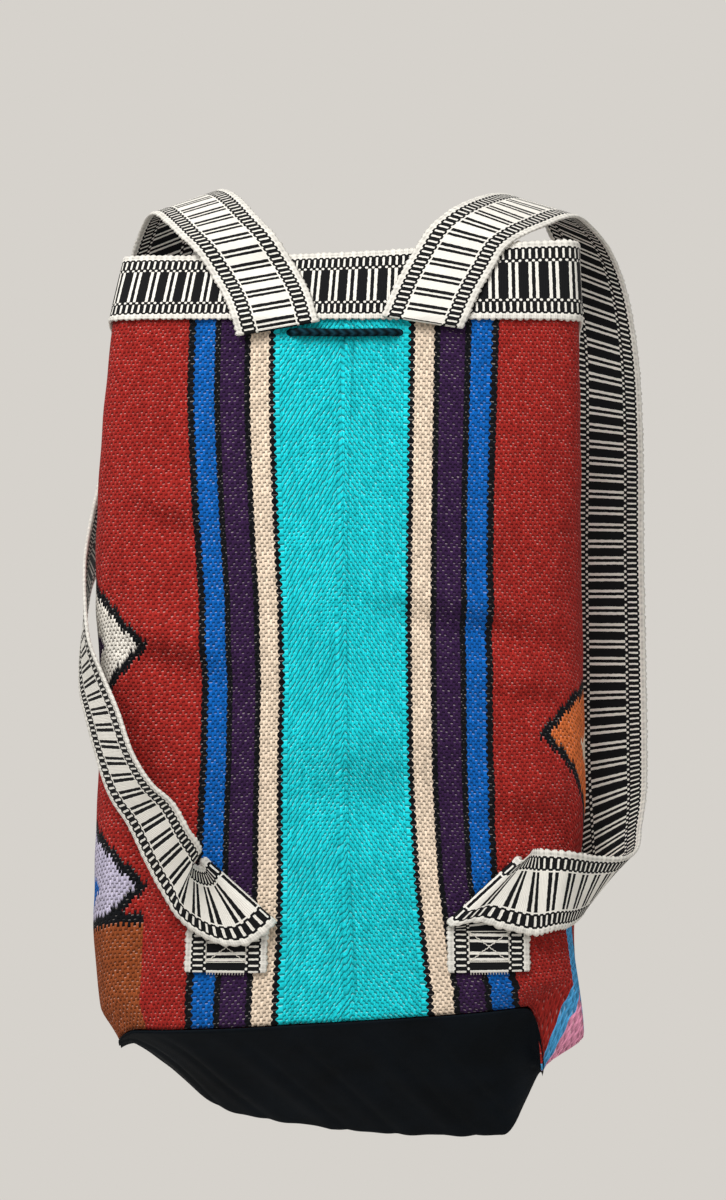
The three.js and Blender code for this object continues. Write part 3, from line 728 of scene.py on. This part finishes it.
# The mouth band: a black and white warp-patterned cotton band, 50 mm wide with looped white
# selvedges, sewn flat round the outside of the mouth.
BAND_THICKNESS = 0.0022
CLEARANCE = 0.0004
REPEAT = 0.0114
TICK = REPEAT / 3
RIB, WARP_END = 0.00095, 0.0009
ROPE_LIFT, EDGE_OUT, LOOP_OUT = 0.0005, 0.0002, 0.0016
# In millimetres from the band's edge: the ladder's middle, the white beside it and the bars; then
# half a tick, a dot's place from the ladder's middle and its radius, and how far threads wander
LADDER, OUTER_WHITE, INNER_WHITE, BARS = 7.5, 3.0, 12.0, 12.9
HALF_TICK, HALF_TICK_WIDTH, TICK_ROUNDING, DOT_PLACE, DOT = 2.8, 0.25, 0.35, 4.5, 0.85
WANDER, WANDER_ALONG = 0.5, 0.7
FIRST_TICK = 0.237

# Patterned cotton: each repeat has two thin bars and a block across the middle, reversed in
# colour on the other face. Beside it run two ladders of white ticks on black, edged with dots.
# Every weft shows as a fine rib, 0.95 mm apart.
band_cotton, tree = new_material("patterned_cotton_band")
band_map = add_node("UVMap", uv_map="cloth")
place = add_node("SeparateXYZ", band_map)
wobble = add_node("TexNoise", band_map, named={"Scale": 380.0, "Detail": 2.0})
run = add_node("Math MULTIPLY_ADD", wobble, WANDER_ALONG / 1000, place.outputs[0])
from_centre = add_node("Math ABSOLUTE", add_node("Math SUBTRACT", place.outputs[1], BAND_WIDTH / 2))
wobbled = add_node("Math MULTIPLY_ADD", wobble, WANDER, 500 * BAND_WIDTH - WANDER / 2)
from_edge = add_node("Math MULTIPLY_ADD", from_centre, -1000.0, wobbled)
tick_off = add_node("Math ABSOLUTE", past_middle(add_node("Math MULTIPLY_ADD", run, 1 / TICK, FIRST_TICK)))
from_tick = add_node("Math MULTIPLY", tick_off, 1000 * TICK)
from_ladder = add_node("Math ABSOLUTE", add_node("Math SUBTRACT", from_edge, LADDER))
tick_x = add_node("Math MAXIMUM", add_node("Math SUBTRACT", from_tick, HALF_TICK_WIDTH), 0.0)
tick_y = add_node("Math MAXIMUM", add_node("Math SUBTRACT", from_ladder, HALF_TICK), 0.0)
tick_far = add_node("VectorMath LENGTH", add_node("CombineXYZ", tick_x, tick_y))
tick = add_node("Math LESS_THAN", tick_far.outputs["Value"], TICK_ROUNDING)
dot_x = add_node("Math SUBTRACT", from_tick, 500 * TICK)
dot_y = add_node("Math SUBTRACT", from_ladder, DOT_PLACE)
dot_far = add_node("VectorMath LENGTH", add_node("CombineXYZ", dot_x, dot_y))
dot = add_node("Math LESS_THAN", dot_far.outputs["Value"], DOT)
light_face = add_node("Attribute", attribute_name="light_face")
inner = add_node(
    "Math MULTIPLY", add_node("Math GREATER_THAN", from_edge, INNER_WHITE), light_face.outputs["Fac"]
)
beside = add_node("Math MAXIMUM", add_node("Math LESS_THAN", from_edge, OUTER_WHITE), inner)
ladder = add_node("Math MAXIMUM", add_node("Math MAXIMUM", tick, dot), beside)
bar_share = add_node("Math FRACT", add_node("Math MULTIPLY", run, 1 / REPEAT))
BLACK, WHITE = (0, 0, 0, 1), (1, 1, 1, 1)
dark_bars = add_node("ValToRGB", bar_share, steps=((0, WHITE), (0.155, BLACK), (0.335, WHITE), (0.49, BLACK)))
light_bars = add_node("ValToRGB", bar_share, steps=((0, BLACK), (0.2, WHITE), (0.325, BLACK), (0.5, WHITE)))
bar = add_node("MixRGB", light_face.outputs["Fac"], dark_bars, light_bars)
central = add_node("Math GREATER_THAN", from_edge, BARS)
white_share = add_node("Mix", central, named={2: ladder, 3: bar})
rib = add_node("Math ABSOLUTE", wave(run, 2 * RIB))
end = add_node("Math ABSOLUTE", wave(place.outputs[1], 2 * WARP_END))
thread_height = add_node("Math MULTIPLY", add_node("Math MULTIPLY_ADD", end, 0.45, 0.55), rib)
raised = add_node("Math MULTIPLY_ADD", white_share, 0.6, thread_height)
two_yarns = add_node("MixRGB", white_share, linear("#090a0d"), linear("#faf5ea"))
soil = add_node("TexNoise", band_map, named={"Scale": 60.0, "Detail": 4.0})
soiled = add_node("MapRange", soil, 0.3, 0.75, 0.94, 1.04)
# Painted shade: darker in the grooves between the ribs and between the warp ends, on top of the soiling
painted_groove_shade = add_node("MapRange", thread_height, 0.0, 0.6, 0.86, 1.0)
soil_and_groove_shade = add_node("Math MULTIPLY", soiled, painted_groove_shade)
# Painted shade in the gaps between the selvedge's loops
loop_gap = add_node("Attribute", attribute_name="loop_gap")
between = add_node("Math MULTIPLY_ADD", loop_gap.outputs["Fac"], -0.55, 1.0)
soil_and_painted_shade = add_node("Math MULTIPLY", soil_and_groove_shade, between)
band_colour = add_node("VectorMath SCALE", two_yarns, named={"Scale": soil_and_painted_shade})
relief = add_node("Bump", named={"Strength": 0.6, "Distance": 0.0005, "Height": raised})
feed(
    tree.nodes["Principled BSDF"],
    {"Base Color": band_colour, "Roughness": 0.85, "Specular IOR Level": 0.2, "Normal": relief},
)

# Shares of the band's width at which its cross-section is cut, closest at the selvedges
WIDTH_SHARES = np.concatenate(
    [[0, 0.012, 0.03, 0.048, 0.066], np.linspace(0.1, 0.9, 15), [0.934, 0.952, 0.97, 0.988, 1]]
)
EDGE_SHARES = np.minimum(WIDTH_SHARES, 1 - WIDTH_SHARES)
ROPE = np.exp(-(((EDGE_SHARES - 0.026) / 0.02) ** 2))


def loops(runs):
    """How far the weft's loops swell at the selvedge, along the band: no two quite alike."""
    uneven = 0.8 + 0.2 * np.sin(runs * 613 + 2 * np.sin(runs * 171))
    return np.abs(np.sin(math.pi * runs / TICK)) ** 0.7 * uneven


def unit(vectors):
    return vectors / np.linalg.norm(vectors, axis=-1, keepdims=True)


def runs_along(path):
    """How far every point of a path is from its start."""
    return np.concatenate([[0], np.cumsum(np.linalg.norm(np.diff(path, axis=0), axis=1))])


def band_piece(name, middle, across, normal, half_thickness, runs, top_is_light, closed):
    """A band round its middle surface: one face, a looped edge, the other face and a looped edge."""
    stations, width = middle.shape[:2]
    size = 2 * width + 2
    swell = loops(runs[:stations])[:, None]
    lift = normal * (half_thickness + ROPE_LIFT * ROPE * swell)[..., None]
    out = across * (EDGE_OUT + LOOP_OUT * swell)
    edges = (middle[:, -1] + out)[:, None], (middle[:, 0] - out)[:, None]
    sections = np.concatenate([middle + lift, edges[0], (middle - lift)[:, ::-1], edges[1]], axis=1)
    faces, station, spot = sweep(stations, size, closed)
    spot = spot % size
    widths = BAND_WIDTH * np.concatenate([WIDTH_SHARES, [1], WIDTH_SHARES[::-1], [0]])
    rope = np.concatenate([ROPE, [1], ROPE[::-1], [1]])
    band_map = np.stack([runs[station], widths[spot]], axis=1)
    # Painted shade between the selvedge's loops, strongest where a loop swells least
    gap_shade_share = rope[spot] * (1 - loops(runs[station]))
    # A face with four corners is as light as its side of the band, and a cut end is dark
    sided = 4 * sum(len(face) == 4 for face in faces)
    light = np.zeros(len(spot))
    light[:sided] = np.repeat(np.where(spot[:sided:4] < width, top_is_light, not top_is_light), 4)
    gap_shade_share[sided:] = 0
    piece = cloth_piece(
        name, sections.reshape(-1, 3), faces, band_map, band_cotton, light_face=light, loop_gap=gap_shade_share
    )
    return piece


# Even steps along the band, counted from the back seam. At the ends of the flat mouth a hair's
# breadth of a turn goes round the whole end, so the line is measured most closely there.
BAND_STATIONS = 936
closing_in = np.logspace(-13, -3, 300)
near_ends = [mouth_end + way * closing_in for mouth_end in (-0.25, 0.25) for way in (-1, 1)]
line_turns = np.sort(np.concatenate([np.linspace(-0.5, 0.5, 4001), *near_ends]))
line = bag_point(line_turns, BAND_WIDTH / 2, CLEARANCE + BAND_THICKNESS / 2)
line_runs = runs_along(line)
BAND_GIRTH = float(line_runs[-1])
band_runs = np.linspace(0, BAND_GIRTH, BAND_STATIONS + 1)
band_turns = np.interp(band_runs, line_runs, line_turns)
band_runs -= np.interp(0, line_turns, line_runs)
# The pattern is woven a tenth looser on the right of the back
LOOSE = 0.9
band_runs *= np.where(band_runs > 0, LOOSE, 1)
turn_grid, down_grid = np.meshgrid(band_turns[:-1], BAND_WIDTH * WIDTH_SHARES, indexing="ij")
# The free upper edge ripples slightly
RIPPLE, RIPPLE_REACH = 0.0004, 0.035
ripple = RIPPLE * np.sin(turn_grid * 97 + 2 * np.sin(turn_grid * 31))
ripple = ripple * smooth(down_grid, RIPPLE_REACH, 0) + RIPPLE / 2
band_out = bag_point(turn_grid, down_grid, CLEARANCE + BAND_THICKNESS + ripple)
band_in = bag_point(turn_grid, down_grid, CLEARANCE + ripple)
band_middle = (band_out + band_in) / 2
mouth = band_piece(
    "mouth_band_cloth",
    band_middle,
    unit(band_middle[:, -1] - band_middle[:, 0]),
    unit(band_out - band_in),
    np.full(WIDTH_SHARES.shape, BAND_THICKNESS / 2),
    band_runs,
    top_is_light=False,
    closed=True,
)
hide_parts("mouth_band")


# The straps: two lengths of the same band. Each is sewn to the mouth band at its upper end, bends
# over in a loop, and ends in a stitched tab on the back, above which it is folded over.
CROWN_RISE, CROWN_REACH = 0.037, 0.070
END_SPREAD, TAB_SPREAD, TAB_SHIFT, TAB_RISE = 0.045, 0.0825, 0.0045, 0.031
FOLD_HEIGHT, END_OVERHANG, FREE_ABOVE, SELVEDGE_THINNING = 0.006, 0.4, 1.1, 0.2
STRAP_STEP = 0.0011


def back_face(x, z):
    """The back's outer face at a place seen from behind: its depth, and its share of the band's height."""
    down = -z
    for _ in range(5):
        half_width, depth, shift, roundness, share = tube_sizes(down)
        across = np.clip((x - shift) / half_width, -0.999, 0.999)
        ahead = (1 - back_share(across, roundness)) / 2
        level = z - hang(across, ahead, share) - BAND_FOOT
        lean = lean_at(across)
        up = level / np.sqrt(BAND_WIDTH**2 - lean**2)
        down = np.where(level > 0, BAND_WIDTH * (1 - up), BAND_WIDTH - level)
        face = depth * ahead + lean * np.maximum(0, up)
    return face, up


def ruling(centre, halfway):
    """A line across the strap: its inner end, nearer the bag's middle at the crown, and its outer end."""
    reach = np.array(halfway) * BAND_WIDTH / 2
    return np.array([np.array(centre) - reach, np.array(centre) + reach])


# A ruling of the hanging part is placed in shares of the belly's size and the seam's height, and one
# of the upper bend in shares of the crown's reach and rise
def hanging(across, ahead, up, *halfway):
    return ruling((across * BELLY_WIDTH / 2, ahead * BELLY_DEPTH, up * -SEAM_HEIGHT), halfway)


def shoulder(across, ahead, up, *halfway):
    return ruling((across * BELLY_WIDTH / 2, ahead * CROWN_REACH, up * CROWN_RISE), halfway)


def on_back(side, x, z, angle, stretch, lift):
    half_x = side * math.cos(math.radians(angle)) * stretch * BAND_WIDTH / 2
    half_z = math.sin(math.radians(angle)) * stretch * BAND_WIDTH / 2
    spots = [(x - half_x, z - half_z), (x + half_x, z + half_z)]
    return np.array([(px, back_face(px, pz)[0] - lift, pz) for px, pz in spots])


def sewn_end(side, outwards, up, angle):
    lift = 2.5 * CLEARANCE + 1.5 * BAND_THICKNESS
    x = side * (END_SPREAD + outwards * BAND_WIDTH)
    return on_back(side, x, BAND_FOOT + up * BAND_WIDTH, angle, 1, lift)


def tab_ruling(side, outwards, up, angle, stretch, layer):
    lift = 1.5 * CLEARANCE + BAND_THICKNESS / 2 + layer * FOLD_HEIGHT
    x = TAB_SHIFT + side * (TAB_SPREAD + outwards * BAND_WIDTH)
    return on_back(side, x, SEAM_HEIGHT + TAB_RISE + up * BAND_WIDTH, angle, stretch, lift)


def tab_fold(side, outwards):
    return [
        tab_ruling(side, 0, 0, 0, 1, 0),
        tab_ruling(side, outwards / 5, 0.53, 0, 1, 0),
        tab_ruling(side, outwards / 2, 0.8, 24, 1.06, 0),
        tab_ruling(side, outwards, 1, 42, 1.18, 0),
        tab_ruling(side, outwards - 0.04, 1.04, 42, 1.18, 0.5),
        tab_ruling(side, outwards, 1, 42, 1.18, 1),
    ]


RIGHT_RULINGS = [
    *tab_fold(1, -0.04),
    tab_ruling(1, 0.18, 1.07, 51, 1.06, 1),
    tab_ruling(1, 0.37, 1.04, 70, 1.02, 1),
    tab_ruling(1, 0.61, 1, 87, 1.04, 1.1),
    hanging(0.83, 0.02, -0.831, 0.14, 0.02, 0.96),
    hanging(0.93, 0.16, -0.835, 0.34, 0.24, 0.84),
    hanging(1.03, 0.37, -0.831, 0.58, 0.36, 0.66),
    hanging(1.07, 0.56, -0.816, 0.74, 0.32, 0.52),
    hanging(1.08, 0.74, -0.79, 0.82, 0.2, 0.5),
    hanging(1.09, 0.9, -0.745, 0.94, 0.12, 0.42),
    hanging(1.09, 1, -0.682, 1, 0.04, 0.18),
    hanging(1.09, 1.07, -0.558, 1, 0, 0),
    hanging(1.09, 1.18, -0.393, 1, 0.04, 0),
    hanging(1.1, 1.31, -0.222, 0.98, 0.08, -0.1),
    hanging(1.09, 1.34, -0.1, 0.94, 0.12, -0.26),
    shoulder(1.04, 1.84, -0.09, 0.92, 0.12, -0.34),
    shoulder(0.96, 1.59, 0.65, 0.92, 0.04, -0.4),
    shoulder(0.86, 1.3, 0.97, 0.94, -0.12, -0.36),
    shoulder(0.754, 0.8, 0.971, 0.966, -0.28, -0.331),
    shoulder(0.632, 0.457, 0.724, 0.881, -0.36, -0.395),
    shoulder(0.544, 0.279, 0.503, 0.883, -0.36, -0.375),
    shoulder(0.467, 0.207, 0.234, 0.929, -0.28, -0.293),
    sewn_end(1, 0.41, 0.78, -13),
    sewn_end(1, 0.2, 0.4, -11),
    sewn_end(1, 0, -0.06, -9),
]
LEFT_RULINGS = [
    *tab_fold(-1, -0.15),
    tab_ruling(-1, 0.0, 0.86, 60, 1.1, 1),
    tab_ruling(-1, 0.22, 0.87, 78, 0.95, 1.3),
    hanging(-0.64, -0.13, -0.827, 0.16, -0.22, 0.76),
    hanging(-0.65, -0.16, -0.806, 0.46, -0.42, 0.66),
    hanging(-0.71, -0.18, -0.771, 0.56, -0.6, 0.5),
    hanging(-0.78, -0.17, -0.728, 0.6, -0.7, 0.36),
    hanging(-0.86, -0.13, -0.697, 0.62, -0.78, 0.18),
    hanging(-0.93, -0.06, -0.651, 0.56, -0.82, 0.02),
    hanging(-0.985, 0.02, -0.6, 0.5, -0.86, 0.1),
    hanging(-1.035, 0.14, -0.561, 0.38, -0.9, 0.24),
    hanging(-1.07, 0.27, -0.518, 0.22, -0.95, 0.22),
    hanging(-1.08, 0.43, -0.467, 0.1, -0.97, 0.24),
    hanging(-1.08, 0.64, -0.415, 0, -0.96, 0.28),
    hanging(-1.03, 0.93, -0.355, -0.28, -0.88, 0.36),
    hanging(-0.94, 1.18, -0.275, -0.66, -0.66, 0.34),
    hanging(-0.88, 1.31, -0.178, -0.88, -0.36, 0.28),
    shoulder(-0.84, 1.97, -0.9, -0.95, -0.1, 0.1),
    shoulder(-0.8, 1.76, 0.4, -0.93, -0.08, -0.36),
    shoulder(-0.72, 1.34, 1.07, -0.93, -0.06, -0.38),
    shoulder(-0.66, 0.96, 1.07, -0.95, -0.04, -0.3),
    shoulder(-0.6, 0.69, 0.84, -0.95, -0.08, -0.3),
    shoulder(-0.53, 0.44, 0.49, -0.96, -0.12, -0.26),
    shoulder(-0.46, 0.29, 0.16, -0.97, -0.08, -0.22),
    sewn_end(-1, 0.3, 0.6, -11),
    sewn_end(-1, 0.12, 0.25, -11),
    sewn_end(-1, 0, -0.14, -10),
]


def smooth_run(points, spacing):
    """A centripetal curve through points, or pairs of points cut alike, in steps of about this spacing."""
    points = np.asarray(points, float)
    ends = [2 * points[0] - points[1], *points, 2 * points[-1] - points[-2]]
    run = []
    for p0, p1, p2, p3 in zip(ends, ends[1:], ends[2:], ends[3:]):
        steps = [
            np.maximum(np.linalg.norm(b - a, axis=-1, keepdims=True), 1e-6) ** 0.5
            for a, b in ((p0, p1), (p1, p2), (p2, p3))
        ]
        first = ((p1 - p0) / steps[0] - (p2 - p0) / (steps[0] + steps[1]) + (p2 - p1) / steps[1]) * steps[1]
        second = ((p2 - p1) / steps[1] - (p3 - p1) / (steps[1] + steps[2]) + (p3 - p2) / steps[2]) * steps[1]
        count = max(2, math.ceil(np.max(np.linalg.norm(p2 - p1, axis=-1)) / spacing))
        for share in np.arange(count) / count:
            run.append(
                p1
                + first * share
                + (-3 * p1 + 3 * p2 - 2 * first - second) * share**2
                + (2 * p1 - 2 * p2 + first + second) * share**3
            )
    return np.array([*run, points[-1]])


def strap_surface(rulings):
    """The strap's middle surface, its direction across and its normal at every station."""
    edges = smooth_run(rulings, STRAP_STEP)
    middle = edges.mean(axis=1)
    runs = runs_along(middle)
    along = np.gradient(edges, axis=0).sum(axis=1)
    across = edges[:, 1] - edges[:, 0]
    normal = unit(np.cross(across, along))
    surface = edges[:, :1] * (1 - WIDTH_SHARES[:, None]) + edges[:, 1:] * WIDTH_SHARES[:, None]
    face, up = back_face(surface[..., 0], surface[..., 2])
    over_band = np.where(up > -END_OVERHANG, 2.5 * CLEARANCE + BAND_THICKNESS, 0)
    freed = 2 * np.maximum(0, up - FREE_ABOVE) * BAND_WIDTH
    seat = face - over_band - 2 * CLEARANCE - BAND_THICKNESS / 2 + freed
    near = surface[..., 1] < BELLY_DEPTH / 5
    surface[..., 1] = np.where(near, np.minimum(surface[..., 1], seat), surface[..., 1])
    return surface + BAG_PLACE, unit(across), normal, runs


def tube_piece(name, paths, radius, sides, material):
    """Round tubes along paths, with a map of their length in metres and their turn."""
    places, faces, tube_map = [], [], []
    angles = 2 * np.pi * np.arange(sides) / sides
    for path in paths:
        tangents = unit(np.gradient(path, axis=0))
        first = np.cross(tangents[0], np.eye(3)[np.argmin(np.abs(tangents[0]))])
        firsts = []
        for tangent in tangents:
            first = unit(first - tangent * np.dot(first, tangent))
            firsts.append(first)
        seconds = np.cross(tangents, firsts)
        turned = np.array(firsts)[:, None] * np.cos(angles)[:, None]
        turned = turned + seconds[:, None] * np.sin(angles)[:, None]
        runs = runs_along(path)
        start = sum(len(part) for part in places)
        places.append((path[:, None] + radius * turned).reshape(-1, 3))
        tube_faces, station, spot = sweep(len(path), sides, closed=False)
        faces += [[start + place for place in face] for face in tube_faces]
        tube_map.append(np.stack([runs[station], spot / sides], axis=1))
    return cloth_piece(name, np.concatenate(places), faces, np.concatenate(tube_map), material)


# White sewing thread: two plies of matt polyester, 0.6 mm thick, whose twist shows as a slant of painted
# shade, darker between the plies and lighter on their crowns
PLY_PITCH = 0.0012
thread, tree = new_material("white_sewing_thread")
place = add_node("SeparateXYZ", add_node("UVMap", uv_map="cloth"))
ply = add_node("Math MULTIPLY_ADD", place.outputs[0], 1 / PLY_PITCH, place.outputs[1])
twist = wave(ply, 1)
painted_ply_shade = add_node("Math MULTIPLY_ADD", twist, 0.5, 0.5)
thread_colour = add_node("MixRGB", painted_ply_shade, linear("#cfc9bd"), linear("#f3eee3"))
feed(tree.nodes["Principled BSDF"], {"Base Color": thread_colour, "Roughness": 0.7})

# The tab's stitching in distances from its cut end and shares of its width: a cross in a box
THREAD, STITCH_LIFT = 0.0006, 0.00125
FRINGE = np.linspace(0.27, 0.73, 14)
CROSS = (
    ((0.0062, 0.25), (0.0250, 0.75)),
    ((0.0062, 0.75), (0.0250, 0.25)),
    ((0.0062, 0.25), (0.0062, 0.75)),
    ((0.0062, 0.25), (0.0250, 0.25)),
    ((0.0062, 0.75), (0.0250, 0.75)),
    ((0.0250, 0.25), (0.0250, 0.75)),
)
for name, rulings, top_is_light in (
    ("strap_left", LEFT_RULINGS, True),
    ("strap_right", RIGHT_RULINGS, False),
):
    surface, across, normal, runs = strap_surface(rulings)
    thickness = BAND_THICKNESS / 2 * (1 - SELVEDGE_THINNING * (2 * WIDTH_SHARES - 1) ** 2)
    strap = band_piece(
        name + "_cloth", surface, across, normal[:, None], thickness, runs + TICK, top_is_light, False
    )
    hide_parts(name)

    def on_tab(run, share, lift):
        """A point over the tab's dark face, which looks outwards. A run below zero is past the cut end."""
        station = min(int(np.searchsorted(runs, run)), len(runs) - 2)
        line = [np.interp(share, WIDTH_SHARES, surface[station, :, axis]) for axis in range(3)]
        past = min(run, 0) * unit(surface[3, 0] - surface[0, 0])
        return np.array(line) + past + normal[station] * lift * (-1 if top_is_light else 1)

    seams = []
    for start, end in CROSS:
        shares = np.linspace(0, 1, 30)
        line = [np.array(start) + (np.array(end) - start) * share for share in shares]
        seams.append(np.array([on_tab(run, share, STITCH_LIFT) for run, share in line]))
    # Cut warp ends stick out as a short fringe between the ladders
    for share in FRINGE:
        bends = ((0.0005, share, 0.0006), (-0.0005, share, 0.0003), (-0.0014, share + 0.004, -0.0004))
        seams.append(np.array([on_tab(*bend) for bend in bends]))
    stitches = tube_piece(name + "_stitches", seams, THREAD / 2, 6, thread)
    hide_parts(name)


# The drawstring: one black braided cord, threaded through four slits. It runs inside the wall,
# shows on the back, and its two tails come out at the front and end in knots.
CORD_DIAMETER, STRAND_PITCH, CORD_STEP = 0.005, 0.006, 0.002
KNOT_SIZE, KNOT_RADIUS, KNOT_SHIFT = 0.00125, 0.0019, np.array((0, 0.003, -0.002))
INSIDE_RUN = -(CLOTH + CLEARANCE + CORD_DIAMETER / 2 + 0.001)
OUTSIDE_RUN = CORD_DIAMETER / 2 + CLEARANCE
# Half of the route: shares of a turn, distances below the cord's level and out from the cloth.
# The yarns close round the cord at a slit, so that no gap shows there.
CORD_LEVEL = 0.059
CAPTIVE_HALF = (
    (0.000, 0.0004, OUTSIDE_RUN + 0.0004),
    (0.022, 0.0002, OUTSIDE_RUN + 0.0002),
    (0.042, 0, OUTSIDE_RUN),
    (0.0515, 0, INSIDE_RUN / 3),
    (0.060, 0, INSIDE_RUN),
    (0.068, 0, INSIDE_RUN),
    (0.09, 0, INSIDE_RUN),
    *((turn, 0, INSIDE_RUN) for turn in np.linspace(0.13, 0.41, 8)),
    (0.428, 0, INSIDE_RUN),
    (0.443, 0.001, INSIDE_RUN / 3),
)
TAIL_HALF = (
    (0.443, 0.001, INSIDE_RUN / 3),
    (0.455, 0.006, OUTSIDE_RUN + 0.0006),
    (0.461, 0.018, OUTSIDE_RUN + 0.001),
    (0.462, 0.050, OUTSIDE_RUN + 0.0012),
    (0.459, 0.084, OUTSIDE_RUN + 0.0012),
    (0.461, 0.116, OUTSIDE_RUN + 0.0012),
)

# Braided cord: matt blue-black polyester, thick strands in a herringbone about 6 mm long, with painted
# highlight on each strand's crown and painted shade between the strands
braid, tree = new_material("black_braided_cord")
cloth_map = add_node("SeparateXYZ", add_node("UVMap", uv_map="cloth"))
turn_round = add_node("Math MULTIPLY", cloth_map.outputs[1], 2.0)
pitch = add_node("Math MULTIPLY", cloth_map.outputs[0], 1 / STRAND_PITCH)
side = past_middle(turn_round)
slant = add_node("Math MULTIPLY_ADD", add_node("Math ABSOLUTE", side), 1.2, pitch)
strand = add_node("Math MULTIPLY_ADD", wave(slant, 1), 0.5, 0.5)
cord_with_painted_highlights = add_node("MixRGB", strand, linear("#00060a"), linear("#103744"))
relief = add_node("Bump", named={"Strength": 1.0, "Distance": 0.0012, "Height": strand})
feed(
    tree.nodes["Principled BSDF"],
    {"Base Color": cord_with_painted_highlights, "Roughness": 0.8, "Specular IOR Level": 0.1, "Normal": relief},
)


def route(half, side):
    turn, below, out = np.array(half).T
    return bag_point(side * turn, CORD_LEVEL + below, out)


captive = smooth_run(np.concatenate([route(CAPTIVE_HALF[1:], -1)[::-1], route(CAPTIVE_HALF, 1)]), CORD_STEP)
captive_cord = tube_piece("drawstring_run", [captive], CORD_DIAMETER / 2, 14, braid)
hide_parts("drawstring")
for side, name in ((-1, "left"), (1, "right")):
    tail_path = smooth_run(route(TAIL_HALF, side), CORD_STEP)
    tail = tube_piece("drawstring_tail_" + name, [tail_path], CORD_DIAMETER / 2, 14, braid)
    # An overhand knot drawn tight
    turn = np.linspace(0, 2 * np.pi, 91)
    knot_x = np.sin(turn) + 2 * np.sin(2 * turn)
    knot_z = 1.15 * (np.cos(turn) - 2 * np.cos(2 * turn))
    knot_path = KNOT_SIZE * np.stack([knot_x, -1.1 * np.sin(3 * turn), knot_z], axis=1)
    knot = tube_piece(
        "drawstring_knot_" + name, [knot_path + tail_path[-1] + KNOT_SHIFT], KNOT_RADIUS, 12, braid
    )
    for piece in (tail, knot):
        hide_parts("drawstring")
